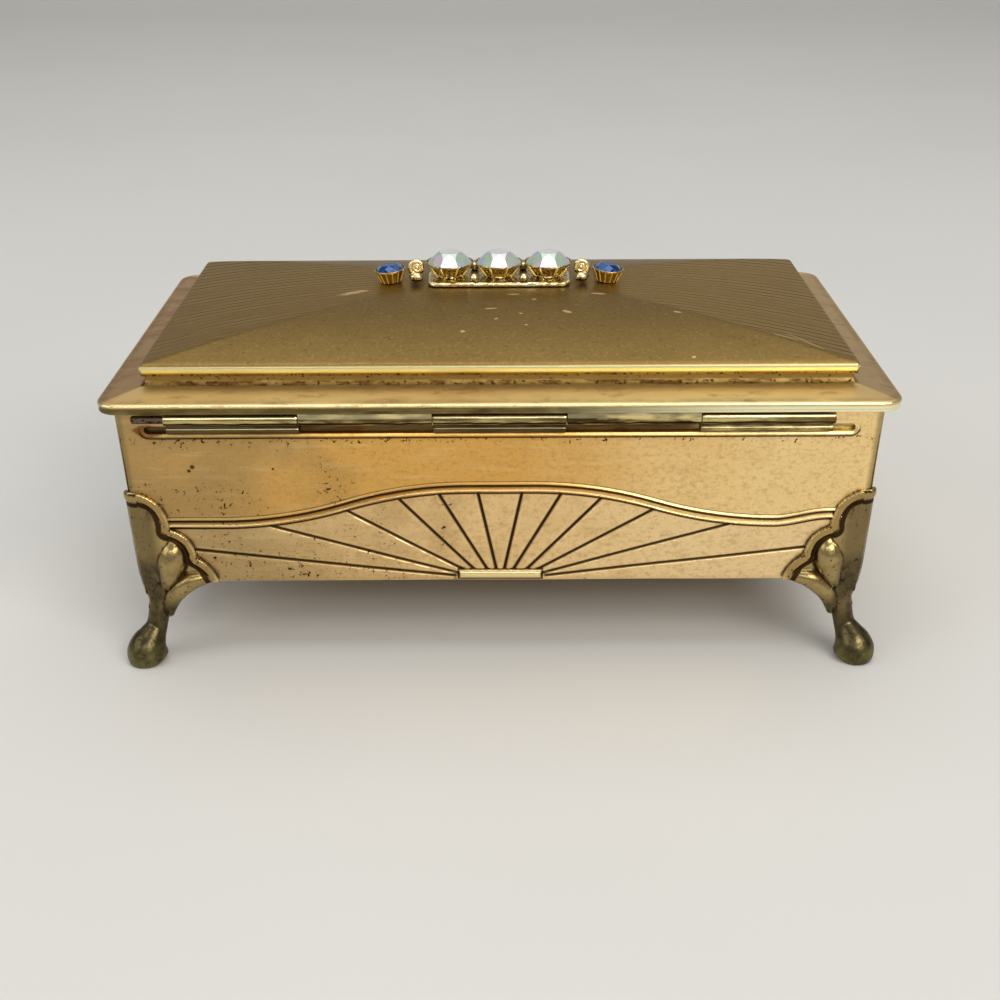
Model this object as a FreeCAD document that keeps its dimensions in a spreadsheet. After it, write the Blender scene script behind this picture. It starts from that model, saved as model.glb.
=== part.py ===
import FreeCAD
import Part
import Sketcher
import math
import os
from FreeCAD import Placement, Rotation, Vector

# Jewelry casket of pressed brass on four cast feet, with a hinged, domed lid.
# Millimetres, +Z up, origin at the middle of the footprint on the table.
# The hinge is on the -Y side, and +X runs along the hinge.

doc = FreeCAD.newDocument("jewelry_casket")

# Driving sizes

SIZES = (
    ("rim_width", 128.0, "lid rim along the hinge"),
    ("rim_depth", 72.0, "lid rim from hinge to front"),
    ("rim_corner", 3.5, "plan radius of the rim's corners"),
    ("lip_height", 1.7, "turned-down lip of the rim"),
    ("lid_sheet", 0.6, "sheet of the lid frame"),
    ("flange_width", 6.2, "sloping flange, in plan"),
    ("flange_rise", 0.8, "rise of the flange towards the panel"),
    ("panel_overhang", 0.8, "panel edge beyond the collar"),
    ("panel_play", 0.05, "panel to collar"),
    ("cove_height", 1.6, "collar showing below the panel edge"),
    ("skirt_height", 1.95, "turned-down edge of the panel"),
    ("panel_sheet", 0.7, "sheet of the panel"),
    ("panel_edge_round", 0.7, "round along the panel's top edge"),
    ("dome_rise", 5.0, "crown of the panel above its edge"),
    ("dome_flat_x", 7.5, "half length of the level ridge"),
    ("dome_flat_y", 0.4, "half width of the level ridge"),
    ("leg_height", 14.7, "table to the walls' lower edge"),
    ("wall_height", 33.34, "walls, lower edge to top"),
    ("wall_inset", 3.1, "rim edge to the tops of the long walls, in plan"),
    ("end_inset", 1.85, "rim edge to the tops of the short walls, in plan"),
    ("wall_lean", 1.1, "how far a wall comes in towards its foot"),
    ("wall_sheet", 0.8, "sheet of the walls"),
    ("wall_corner", 1.8, "round of the casket's upright corners"),
    ("seat_gap", 0.05, "lid flange above the wall tops"),
    ("base_sheet", 0.7, "sheet of the floor"),
    ("base_gap", 0.03, "floor to walls"),
    ("bead_radius", 0.75, "moulding above the sunburst"),
    ("bead_sunk", 0.25, "moulding centre inside the wall face"),
    ("bead_crest", 17.5, "moulding in the middle, above the lower edge"),
    ("bead_side", 11.1, "moulding at its ends, above the lower edge"),
    ("bead_crest_half", 5.0, "half of the level run at the long moulding's crest"),
    ("bead_level", 6.9, "level run at each end of the long moulding"),
    ("bead_end_gap", 6.9, "moulding end to the casket's corner"),
    ("short_crest", 15.3, "the same moulding on a short wall"),
    ("short_crest_half", 1.5, "half of the level run at a short moulding's crest"),
    ("short_level", 6.4, "level run at each end of a short moulding"),
    ("ray_width", 0.5, "pressed ray"),
    ("ray_depth", 0.3, "pressed ray"),
    ("hub_width", 14.0, "bar at the foot of the rays"),
    ("hub_height", 1.6, "bar at the foot of the rays"),
    ("hub_proud", 0.5, "bar beyond the wall face"),
    ("hub_low", 0.4, "bar above the lower edge"),
    ("hub_round", 0.48, "round on the bar's face"),
    ("short_hub_width", 8.0, "the same bar on a short wall"),
    ("axis_out", 1.7, "hinge axis inside the rim edge"),
    ("axis_drop", 3.05, "hinge axis below the rim top"),
    ("barrel_radius", 1.05, "rolled hinge knuckle"),
    ("leaf_sheet", 0.35, "sheet of the hinge leaves"),
    ("pin_play", 0.03, "pin to knuckle, radial"),
    ("knuckles", 5, "rolled knuckles, three on the body and two on the lid"),
    ("barrel_end_gap", 3.8, "end of the barrel to the end of the slot"),
    ("knuckle_play", 0.16, "gap between knuckles"),
    ("pin_out", 5.3, "pin standing out at the left"),
    ("pin_short", 2.4, "pin end inside the last knuckle"),
    ("pin_bevel", 0.2, "bevel on the pin's ends"),
    ("slot_end_gap", 4.95, "end of the hinge slot to the casket's corner"),
    ("slot_height", 1.4, "hinge slot"),
    ("slot_drop", 5.3, "middle of the slot below the wall top"),
    ("leaf_play", 0.03, "body leaf to wall"),
    ("leaf_depth", 4.6, "body leaf down the inside of the wall"),
    ("lid_leaf_rise", 2.3, "lid leaf above the hinge axis"),
    ("lid_leaf_strip", 0.85, "lid leaf's continuous strip"),
    ("lining_sheet", 1.2, "velvet on card"),
    ("lining_gap", 0.15, "lining to wall"),
    ("lining_end", 0.6, "long linings short of the rounded corners"),
    ("leaf_room", 0.6, "back lining to wall, past the hinge leaf"),
    ("lining_drop", 1.3, "lining below the wall top"),
    ("lining_joint", 0.2, "gap where linings meet"),
    ("floor_pad_sheet", 1.6, "padded floor"),
    ("floor_pad_soft", 0.64, "round on the padded floor's edge"),
    ("pad_gap", 0.25, "lid pad to collar"),
    ("pad_sheet", 2.0, "lid pad at its edge"),
    ("pad_crown", 0.9, "lid pad's crown"),
    ("foot_gap", 0.03, "feet to body"),
    ("pad_radius", 3.55, "foot pad"),
    ("pad_round", 0.6, "foot pad, drawn in at the table"),
    ("pad_height", 3.0, "foot pad"),
    ("pad_kick", 1.4, "foot pad outside the corner, each way"),
    ("ankle_height", 7.0, "narrowest part of the leg"),
    ("ankle_radius", 1.75, "narrowest part of the leg"),
    ("calf_tuck", 1.5, "leg between ankle and body, inside the corner, each way"),
    ("calf_radius", 2.35, "leg between ankle and body"),
    ("ankle_tuck", 0.4, "ankle inside the corner, each way"),
    ("knee_radius", 4.0, "corner rib of the foot"),
    ("knee_tuck", 2.5, "corner rib inside the corner, each way"),
    ("leaf_height", 17.6, "foot up the corner, above the lower edge"),
    ("scallop_proud", 0.9, "scalloped border beyond the wall face"),
    ("scallop_root", 1.0, "scalloped border carried inside the wall face before its seat is cut"),
    ("bar_length", 25.0, "ornament bar"),
    ("bar_width", 9.0, "ornament bar"),
    ("bar_sheet", 0.8, "ornament bar"),
    ("bar_corner", 1.8, "plan radius of the bar's corners"),
    ("bar_gap", 0.02, "ornament above the panel"),
    ("post_radius", 0.6, "posts under the bar"),
    ("post_play", 0.05, "post to panel hole"),
    ("post_head", 1.1, "peened end of a post"),
    ("post_head_sheet", 0.5, "peened end of a post"),
    ("stone_pitch", 8.65, "middle stones, centre to centre"),
    ("stone_radius", 3.95, "middle stones"),
    ("stone_girdle", 2.4, "girdle above the bar"),
    ("stone_edge", 0.25, "upright edge of the girdle"),
    ("stone_crown", 1.95, "girdle to table"),
    ("stone_table", 1.9, "table radius"),
    ("stone_culet", 0.6, "blunt point of the stone, radius"),
    ("culet_gap", 0.1, "stone's point above the floor of its cup"),
    ("stone_play", 0.06, "stone to cup"),
    ("rim_lap", 0.2, "cup rim above the girdle"),
    ("seat_drop", 0.05, "cup's shoulder below the girdle's edge"),
    ("cup_wall", 0.25, "cup rim"),
    ("cup_foot", 2.3, "cup at the bar"),
    ("cup_floor", 0.5, "cup under the stone"),
    ("end_x", 19.0, "end stones from the middle"),
    ("end_radius", 2.5, "end stones"),
    ("end_girdle", 2.1, "end stone's girdle above its cup's foot"),
    ("end_edge", 0.2, "upright edge of the end stone's girdle"),
    ("end_crown", 1.0, "end stone's girdle to table"),
    ("end_table", 1.375, "end stone's table radius"),
    ("end_culet", 0.45, "blunt point of the end stone, radius"),
    ("end_foot", 1.9, "end cup's foot"),
    ("end_tilt", 6.0, "end cups lean outward, degrees"),
    ("flute_width", 0.45, "notch in an end cup's rim"),
    ("flute_height", 0.8, "notch in an end cup's rim"),
    ("link_gap", 0.25, "scroll link to bar"),
    ("link_half", 1.7, "half length of a link's plate"),
    ("link_reach", 3.4, "half width of a link's plate"),
    ("link_ball_out", 2.5, "link's bosses from its middle"),
    ("ring_radius", 1.3, "scroll link"),
    ("ring_wire", 0.45, "scroll link"),
    ("ball_radius", 0.8, "small balls of the ornament"),
    ("ball_cut", 50.0, "latitude where a ball meets the bar, degrees"),
    ("overcut", 1.0, "how far a cutting form runs past the face that it leaves"),
)

# Places that follow from the driving sizes

FITS = (
    ("rim_half_x", "dims.rim_width / 2"),
    ("rim_half_y", "dims.rim_depth / 2"),
    ("wall_top", "dims.leg_height + dims.wall_height"),
    ("top_x", "rim_half_x - dims.end_inset"),
    ("top_y", "rim_half_y - dims.wall_inset"),
    ("corner_shift", "dims.wall_inset - dims.end_inset"),
    ("low_x", "top_x - dims.wall_lean"),
    ("low_y", "top_y - dims.wall_lean"),
    ("rim_top", "wall_top + dims.seat_gap + dims.lid_sheet"
                " - dims.flange_rise * dims.end_inset / dims.flange_width"),
    ("lip_low", "rim_top - dims.lip_height"),
    ("flange_top", "rim_top + dims.flange_rise"),
    ("panel_x", "rim_half_x - dims.flange_width"),
    ("panel_y", "rim_half_y - dims.flange_width"),
    ("panel_low", "flange_top + dims.cove_height"),
    ("panel_edge", "panel_low + dims.skirt_height"),
    ("panel_apex", "panel_edge + dims.dome_rise"),
    ("skirt_sheet", "dims.panel_overhang - dims.panel_play"),
    ("hollow_x", "panel_x - skirt_sheet"),
    ("hollow_y", "panel_y - skirt_sheet"),
    ("hollow_low", "panel_low - dims.overcut"),
    ("hollow_edge", "panel_edge - dims.panel_sheet"),
    ("hollow_apex", "panel_apex - dims.panel_sheet"),
    ("collar_x", "panel_x - dims.panel_overhang"),
    ("collar_y", "panel_y - dims.panel_overhang"),
    ("collar_top", "hollow_edge - dims.panel_play"),
    ("collar_rise", "dims.flange_rise * (dims.flange_width + dims.panel_overhang) / dims.flange_width"),
    ("axis_y", "-(rim_half_y - dims.axis_out)"),
    ("axis_z", "rim_top - dims.axis_drop"),
    ("bore_radius", "dims.barrel_radius - dims.leaf_sheet"),
    ("pin_radius", "bore_radius - dims.pin_play"),
    ("slot_half", "top_x - dims.slot_end_gap"),
    ("barrel_half", "slot_half - dims.barrel_end_gap"),
    ("knuckle_length", "2 * barrel_half / dims.knuckles"),
    ("slot_z", "wall_top - dims.slot_drop"),
    ("leaf_y", "-(low_y - dims.wall_sheet - dims.leaf_play"
               " + dims.wall_lean * (slot_z - dims.leaf_depth - dims.leg_height) / dims.wall_height)"),
    ("base_top", "dims.leg_height + dims.base_sheet"),
    ("lining_top", "wall_top - dims.lining_drop"),
    ("inside_x", "low_x - dims.wall_sheet"),
    ("inside_y", "low_y - dims.wall_sheet"),
    ("lean_slope", "dims.wall_lean / dims.wall_height"),
    ("pad_x", "collar_x - dims.lid_sheet - dims.pad_gap"),
    ("pad_y", "collar_y - dims.lid_sheet - dims.pad_gap"),
    ("pad_edge", "rim_top + collar_rise - dims.lid_sheet"),
    ("pad_top", "pad_edge + dims.pad_sheet"),
    ("pad_apex", "pad_edge - dims.pad_crown"),
    ("pad_flat", "pad_x / 2"),
    ("bar_low", "panel_apex + dims.bar_gap"),
    ("bar_top", "bar_low + dims.bar_sheet"),
    ("dome_radius", "((panel_x - dims.dome_flat_x)^2 + dims.dome_rise^2) / (2 * dims.dome_rise)"),
    ("end_reach", "dims.end_x + dims.end_foot - dims.dome_flat_x"),
    ("in_low_x", "inside_x + lean_slope * dims.base_sheet"),
    ("in_low_y", "inside_y + lean_slope * dims.base_sheet"),
    ("in_high_x", "inside_x + lean_slope * (lining_top - dims.leg_height)"),
    ("in_high_y", "inside_y + lean_slope * (lining_top - dims.leg_height)"),
    ("bead_mid", "(dims.bead_crest + dims.bead_side) / 2"),
    ("bead_end", "low_x - dims.bead_end_gap"),
    ("bead_flat_from", "bead_end - dims.bead_level"),
    ("bead_half", "(bead_flat_from + dims.bead_crest_half) / 2"),
    ("short_mid", "(dims.short_crest + dims.bead_side) / 2"),
    ("short_end", "low_y - dims.bead_end_gap"),
    ("short_flat_from", "short_end - dims.short_level"),
    ("short_half", "(short_flat_from + dims.short_crest_half) / 2"),
    ("pad_flat_y", "pad_y / 2"),
    ("cup_bore", "dims.stone_radius + dims.stone_play"),
    ("cup_rim_radius", "cup_bore + dims.cup_wall"),
    ("cup_rim", "dims.stone_girdle + dims.rim_lap"),
    ("cup_shoulder", "dims.stone_girdle - dims.stone_edge - dims.seat_drop"),
    ("cup_well", "dims.stone_culet + 2 * dims.stone_play"),
    ("end_bore", "dims.end_radius + dims.stone_play"),
    ("end_rim_radius", "end_bore + dims.cup_wall"),
    ("end_rim", "dims.end_girdle + dims.rim_lap"),
    ("end_shoulder", "dims.end_girdle - dims.end_edge - dims.seat_drop"),
    ("end_well", "dims.end_culet + 2 * dims.stone_play"),
    ("flute_half", "dims.flute_width / 2"),
    ("flute_low", "end_rim - dims.flute_height"),
    ("link_x", "dims.bar_length / 2 + dims.link_gap + dims.link_half"),
    ("end_low", "panel_apex - dome_radius + sqrt(dome_radius^2 - end_reach^2)"
                " + dims.end_foot * sin(dims.end_tilt) + dims.bar_gap"),
)


def make_sheet(name, rows):
    """A sheet of named cells: name, value, note."""
    sheet = doc.addObject("Spreadsheet::Sheet", name)
    for row, cells in enumerate(rows, 1):
        sheet.set(f"A{row}", cells[0])
        sheet.set(f"B{row}", str(cells[1]))
        sheet.setAlias(f"B{row}", cells[0])
        if len(cells) > 2:
            sheet.set(f"C{row}", cells[2])
    doc.recompute()
    return sheet


dims = make_sheet("dims", SIZES)
fits = make_sheet("fits", [(name, "=" + text) for name, text in FITS])
driving = {row[0] for row in SIZES}


def number(name):
    """Value of a named size; a leading minus turns its sign."""
    if name == "0":
        return 0.0
    if name.startswith("-"):
        return -number(name[1:])
    return float(getattr(dims if name in driving else fits, name))


def ref(name):
    """The same named size as text for an expression."""
    if name == "0":
        return name
    if name.startswith("-"):
        return "-" + ref(name[1:])
    return ("dims." if name in driving else "fits.") + name


def bind(thing, **texts):
    """Ties properties to expressions; x, y and z are the place."""
    for key, text in texts.items():
        path = "Placement.Base." + key if key in ("x", "y", "z") else key
        thing.setExpression(path, text)
    return thing


def add(kind, name, **texts):
    return bind(doc.addObject(kind, name), **texts)


def turned(thing, axis, angle):
    thing.Placement = Placement(Vector(), Rotation(Vector(*axis), angle))
    return thing


def box(name, x0, x1, y0, y1, z0, z1):
    """Box between six expressions."""
    return add("Part::Box", name, Length=f"({x1}) - ({x0})", Width=f"({y1}) - ({y0})",
               Height=f"({z1}) - ({z0})", x=x0, y=y0, z=z0)


def centred_box(name, half_x, half_y, z0, z1):
    return box(name, f"-({half_x})", half_x, f"-({half_y})", half_y, z0, z1)


def frustum(name, z0, z1, low, high):
    """Block whose plan changes from low to high, each (x0, x1, y0, y1)."""
    block = turned(doc.addObject("Part::Wedge", name), (1, 0, 0), 90)
    return bind(block, Ymin=z0, Ymax=z1, Xmin=low[0], Xmax=low[1], Zmin=f"-({low[3]})", Zmax=f"-({low[2]})",
                X2min=high[0], X2max=high[1], Z2min=f"-({high[3]})", Z2max=f"-({high[2]})")


def centred_frustum(name, z0, z1, low_x, low_y, high_x, high_y):
    low = (f"-({low_x})", low_x, f"-({low_y})", low_y)
    high = (f"-({high_x})", high_x, f"-({high_y})", high_y)
    return frustum(name, z0, z1, low, high)


def fuse(name, shapes):
    joined = doc.addObject("Part::MultiFuse", name)
    joined.Shapes = shapes
    joined.Refine = True
    return joined


def pair(kind, name, base, tool):
    result = doc.addObject(kind, name)
    result.Base = base
    result.Tool = tool
    result.Refine = True
    return result


def fuse_in_turn(name, shapes):
    """Joins curved forms one after another, which suits them better than all at once."""
    joined = shapes[0]
    for shape in shapes[1:]:
        joined = pair("Part::Fuse", name, joined, shape)
        joined.Refine = False
    return joined


def cut(name, base, tool):
    return pair("Part::Cut", name, base, tool)


def common(name, base, tool):
    return pair("Part::Common", name, base, tool)


def mirrored(name, source, normal):
    copy = doc.addObject("Part::Mirroring", name)
    copy.Source = source
    copy.Normal = Vector(*normal)
    return copy


def upright(edge):
    """True for an edge that climbs, such as a block's corner edge."""
    ends = [vertex.Point.z for vertex in edge.Vertexes]
    return len(ends) == 2 and abs(ends[0] - ends[1]) > 0.5


def rounded(name, base, radius, pick):
    """Rounds the edges that pick chooses."""
    doc.recompute()
    soft = doc.addObject("Part::Fillet", name)
    soft.Base = base
    soft.Edges = [(i, radius, radius) for i, edge in enumerate(base.Shape.Edges, 1) if pick(edge)]
    return soft


# Sketches

def vector(point):
    return Vector(number(point[0]), number(point[1]), 0)


def level_arc(start, end, level):
    """Arc from start to end that runs level at one of them."""
    other = end if level == start else start
    drop = other.y - level.y
    radius = ((other.x - level.x) ** 2 + drop ** 2) / (2 * drop)
    centre = level + Vector(0, radius, 0)
    middle = (start + end) * 0.5 - centre
    return Part.Arc(start, centre + middle.normalize() * abs(radius), end)


def outline(sketch, points, arcs=(), smooth=()):
    """Closed outline through points that are pairs of named sizes.

    arcs holds (edge, end) for edges that are arcs, level at their end 0 or 1;
    smooth holds the points where two edges run into each other without a corner.
    """
    level = dict(arcs)
    count = len(points)
    ends = []
    for i in range(count):
        start = vector(points[i])
        end = vector(points[(i + 1) % count])
        if i in level:
            curve = level_arc(start, end, (start, end)[level[i]])
        else:
            curve = Part.LineSegment(start, end)
        sketch.addGeometry(curve, False)
        first = 1 if sketch.getPoint(i, 1).distanceToPoint(start) < 1e-6 else 2
        ends.append((first, 3 - first))
    for i in range(count):
        before = i - 1 if i else count - 1
        kind = "Tangent" if i in smooth else "Coincident"
        sketch.addConstraint(Sketcher.Constraint(kind, before, ends[before][1], i, ends[i][0]))
    for i, point in enumerate(points):
        for kind, name in zip(("DistanceX", "DistanceY"), point):
            place = sketch.addConstraint(Sketcher.Constraint(kind, -1, 1, i, ends[i][0], number(name)))
            sketch.setExpression(f".Constraints[{place}]", ref(name))
    return sketch


def plane_sketch(name, plane):
    """Free sketch standing on the XZ or the YZ plane."""
    sketch = doc.addObject("Sketcher::SketchObject", name)
    if plane == "XZ":
        return turned(sketch, (1, 0, 0), 90)
    return turned(sketch, (1, 1, 1), 120)


def extruded(name, sketch, reach):
    """Sketch drawn out by reach both ways along its normal."""
    solid = add("Part::Extrusion", name, LengthFwd=reach, LengthRev=reach)
    solid.Base = sketch
    solid.DirMode = "Normal"
    solid.Solid = True
    return solid


def body_sketch(body, name, role):
    """Sketch on one of a body's own origin planes."""
    sketch = body.newObject("Sketcher::SketchObject", name)
    plane = [item for item in body.Origin.OriginFeatures if item.Role == role][0]
    sketch.AttachmentSupport = [(plane, "")]
    sketch.MapMode = "FlatFace"
    return sketch


def arched_block(name, plane, half, flat, heights, reach, soft):
    """Block with a crown that is level over its middle and falls off in two arcs to rounded shoulders."""
    base, edge, apex = heights
    points = (("-" + half, base), (half, base), (half, edge), (flat, apex), ("-" + flat, apex),
              ("-" + half, edge))
    sketch = outline(plane_sketch(name + "_profile", plane), points, ((2, 1), (4, 0)), (3, 4))
    block = extruded(name, sketch, reach)
    if not soft:
        return block
    level = number(edge)
    return rounded(name + "_soft", block, soft,
                   lambda side: all(abs(vertex.Z - level) < 1e-6 for vertex in side.Vertexes))


def hipped_block(name, size, heights, flats, soft=0):
    """Two crowned blocks crossed, which leaves a hip running in from each corner."""
    along = arched_block(name + "_along", "XZ", size + "_x", flats[0], heights,
                         f"fits.{size}_y + dims.overcut", soft)
    across = arched_block(name + "_across", "YZ", size + "_y", flats[1], heights,
                          f"fits.{size}_x + dims.overcut", soft)
    return common(name, along, across)


# Walls: four pressed plates that lean outward, mitred at the rounded corners

def body_form(name, grow, beyond, corner):
    """The casket's leaning form, grown all round and carried beyond its top and bottom."""
    low = [f"fits.low_{way} + ({grow}) - fits.lean_slope * ({beyond})" for way in "xy"]
    high = [f"fits.top_{way} + ({grow}) + fits.lean_slope * ({beyond})" for way in "xy"]
    block = centred_frustum(name + "_block", f"dims.leg_height - ({beyond})", f"fits.wall_top + ({beyond})",
                            *low, *high)
    return rounded(name, block, corner, upright)


def wall_sector(name, angle, reach, half, apex):
    """Upright wedge that parts one wall from its neighbours along the mitres."""
    sector = turned(doc.addObject("Part::Wedge", name), (0, 0, 1), angle)
    return bind(sector, Ymin=f"-({reach})", Ymax=f"-({apex})", Zmin="0", Zmax="fits.rim_top",
                Xmin=f"-({half})", Xmax=half, X2min=f"({reach}) - ({apex}) - ({half})",
                X2max=f"({half}) - ({reach}) + ({apex})", Z2min="0", Z2max="fits.rim_top")


def fan_outline(name, long, sunk):
    """Field of the rays, in the plane of a wall; its upper edge is the line of the moulding."""
    sketch = plane_sketch(name, "XZ")
    bind(sketch, y=sunk)
    kind = "bead" if long else "short"
    crest, level, half, mid, flat, end = (f"{kind}_{part}" for part in (
        "crest", "crest_half", "half", "mid", "flat_from", "end"))
    rise = ((flat, "bead_side"), (half, mid), (level, crest))
    left = [("-" + along, up) for along, up in rise]
    points = [("-" + end, "bead_side"), *left, *rise[::-1], (end, "bead_side"), (end, "0"), ("-" + end, "0")]
    return outline(sketch, points, ((1, 0), (2, 1), (4, 0), (5, 1)), (1, 2, 5, 6))


# Rays as (start along the wall, start above the lower edge, climb in degrees), mirrored about the middle.
LONG_RAYS = ((0.7, 2.2, 78.5), (2.3, 2.2, 61.2), (4.6, 2.2, 47.6), (6.6, 2.2, 30.6), (7.1, 1.3, 16.6),
             (7.6, 0.8, 6.9))
SHORT_RAYS = ((0.6, 2.2, 76.0), (1.9, 2.2, 56.0), (3.4, 2.2, 36.0), (4.3, 1.2, 17.0))


def sunburst(name, long):
    """Pressed rays, moulding and hub bar, made on an upright plane."""
    grooves = []
    for side in (-1, 1):
        for start, height, climb in (LONG_RAYS if long else SHORT_RAYS):
            groove = add("Part::Box", name + "_ray", Length="fits.low_x", Width="2 * dims.ray_depth",
                         Height="dims.ray_width")
            turn = Rotation(Vector(0, 1, 0), -climb if side > 0 else climb - 180)
            place = Vector(side * start, -number("ray_depth"), height)
            groove.Placement = Placement(place + turn.multVec(Vector(0, 0, -number("ray_width") / 2)), turn)
            grooves.append(groove)
    field = extruded(name + "_field", fan_outline(name + "_field_line", long, "0"), "2 * dims.ray_depth")
    rays = common(name + "_rays", fuse(name + "_ray_set", grooves), field)
    path = fan_outline(name + "_bead_line", long, "dims.bead_sunk")
    doc.recompute()
    low = number("bead_side") - 0.01
    upper = [f"Edge{i}" for i, edge in enumerate(path.Shape.Edges, 1)
             if min(vertex.Z for vertex in edge.Vertexes) > low]
    ring = turned(doc.addObject("Part::Circle", name + "_bead_ring"), (0, 1, 0), 90)
    end = "bead_end" if long else "short_end"
    bind(ring, Radius="dims.bead_radius", x=ref("-" + end), y="dims.bead_sunk", z="dims.bead_side")
    bead = doc.addObject("Part::Sweep", name + "_bead")
    bead.Sections = [ring]
    bead.Spine = (path, upper)
    bead.Solid = True
    width = "dims.hub_width" if long else "dims.short_hub_width"
    hub_block = box(name + "_hub_block", f"-{width} / 2", f"{width} / 2", "-dims.hub_proud", "dims.hub_proud",
                    "dims.hub_low", "dims.hub_low + dims.hub_height")
    face = -number("hub_proud")
    hub = rounded(name + "_hub", hub_block, number("hub_round"),
                  lambda edge: all(abs(vertex.Y - face) < 1e-6 for vertex in edge.Vertexes))
    return rays, fuse(name + "_relief", [bead, hub])


def make_walls():
    ring = cut("wall_ring", body_form("wall_outer", "0", "0", number("wall_corner")),
               body_form("wall_inner", "-dims.wall_sheet", "dims.overcut",
                         number("wall_corner") - number("wall_sheet")))
    lean = Rotation(Vector(1, 0, 0), math.degrees(math.atan(number("lean_slope"))))
    plates = {}
    for name, side, angle, reach, half, apex, foot in (
            ("wall_back_plain", "back", 0, "fits.rim_half_y", "fits.rim_half_x + fits.corner_shift", "0",
             "low_y"),
            ("wall_left", "left", -90, "fits.rim_half_x", "fits.rim_half_y - fits.corner_shift",
             "fits.rim_half_x - fits.rim_half_y + fits.corner_shift", "low_x")):
        sector = wall_sector(f"wall_{side}_sector", angle, reach, half, apex)
        plate = common(f"wall_{side}_plate", ring, sector)
        rays, relief = sunburst("sunburst_" + side, side == "back")
        spin = Rotation(Vector(0, 0, 1), angle)
        foot_place = spin.multVec(Vector(0, -number(foot), number("leg_height")))
        for tool in (rays, relief):
            tool.Placement = Placement(foot_place, spin.multiply(lean))
        plates[side] = fuse(name, [cut(f"wall_{side}_rayed", plate, rays), relief])
    slot_run = "fits.slot_half - dims.slot_height / 2"
    slot_parts = [box("slot_block", f"-({slot_run})", slot_run,
                      "-fits.rim_half_y", "dims.overcut - fits.inside_y",
                      "fits.slot_z - dims.slot_height / 2", "fits.slot_z + dims.slot_height / 2")]
    for side in ("-", ""):
        end = turned(doc.addObject("Part::Cylinder", "slot_end"), (1, 0, 0), -90)
        slot_parts.append(bind(end, Radius="dims.slot_height / 2",
                               Height="fits.rim_half_y - fits.inside_y + dims.overcut",
                               x=f"{side}({slot_run})", y="-fits.rim_half_y", z="fits.slot_z"))
    back = cut("wall_back", plates["back"], fuse("slot", slot_parts))
    front = mirrored("wall_front", plates["back"], (0, 1, 0))
    return [back, front, plates["left"], mirrored("wall_right", plates["left"], (1, 0, 0))]


# Floor and linings

def make_floor():
    plate = centred_box("base_block", "fits.inside_x - dims.base_gap", "fits.inside_y - dims.base_gap",
                        "dims.leg_height", "fits.base_top")
    corner = number("wall_corner") - number("wall_sheet")
    return [rounded("base_plate", plate, corner, upright)]


def make_linings():
    """Velvet on card: two long walls, two short ones between them, and the padded floor."""
    made = []
    back = "dims.leaf_room"
    front = "dims.lining_gap"
    sheet = "dims.lining_sheet"
    joint = "dims.lining_joint"

    def lining(name, spans):
        plans = [spans("fits.in_low_x", "fits.in_low_y"), spans("fits.in_high_x", "fits.in_high_y")]
        made.append(frustum(name, "fits.base_top", "fits.lining_top", *plans))

    for name, sign, gap in (("lining_back", -1, back), ("lining_front", 1, front)):
        def long_span(x, y):
            near, far = f"{y} - {gap} - {sheet}", f"{y} - {gap}"
            across = (near, far) if sign > 0 else (f"-({far})", f"-({near})")
            return (f"-({x} - dims.lining_end)", f"{x} - dims.lining_end") + across
        lining(name, long_span)
    for name, sign in (("lining_left", -1), ("lining_right", 1)):
        def short_span(x, y):
            near, far = f"{x} - {front} - {sheet}", f"{x} - {front}"
            along = (near, far) if sign > 0 else (f"-({far})", f"-({near})")
            return along + (f"-({y} - {back} - {sheet} - {joint})", f"{y} - {front} - {sheet} - {joint}")
        lining(name, short_span)
    pad_x = f"fits.in_low_x - {front} - {sheet} - {joint}"
    pad_back = f"-(fits.in_low_y - {back} - {sheet} - {joint})"
    pad_front = f"fits.in_low_y - {front} - {sheet} - {joint}"
    pad = box("floor_pad_block", f"-({pad_x})", pad_x, pad_back, pad_front, "fits.base_top",
              "fits.base_top + dims.floor_pad_sheet")
    top = number("base_top") + number("floor_pad_sheet")
    made.append(rounded("floor_pad", pad, number("floor_pad_soft"),
                        lambda edge: all(abs(vertex.Z - top) < 1e-6 for vertex in edge.Vertexes)))
    return made


# Feet: a cabriole leg under each corner, with a scalloped leaf spread over both walls

def leg():
    """Leg, lofted through round sections from the table to the body, and the rib that climbs the corner."""
    stations = (
        ("0", "dims.pad_kick", "dims.pad_radius - dims.pad_round"),
        ("dims.pad_height * 0.45", "dims.pad_kick", "dims.pad_radius"),
        ("dims.pad_height", "dims.pad_kick * 0.7", "dims.pad_radius * 0.8"),
        ("dims.ankle_height", "-dims.ankle_tuck", "dims.ankle_radius"),
        ("dims.leg_height * 0.72", "-dims.calf_tuck", "dims.calf_radius"),
        ("dims.leg_height", "-dims.knee_tuck * 0.9", "dims.knee_radius * 0.85"),
    )
    rings = [add("Part::Circle", "leg_ring", Radius=radius, x=f"-(fits.low_x + ({out}) - fits.corner_shift)",
                 y=f"-(fits.low_y + ({out}))", z=height) for height, out, radius in stations]
    form = doc.addObject("Part::Loft", "leg")
    form.Sections = rings
    form.Solid = True
    rib = add("Part::Ellipsoid", "corner_rib", Radius1="dims.leaf_height * 0.68", Radius2="dims.knee_radius",
              Radius3="dims.knee_radius",
              x="-(fits.low_x - dims.knee_tuck)", y="-(fits.low_y - dims.knee_tuck)",
              z="dims.leg_height + dims.leaf_height * 0.4")
    return [form, rib]


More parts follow.
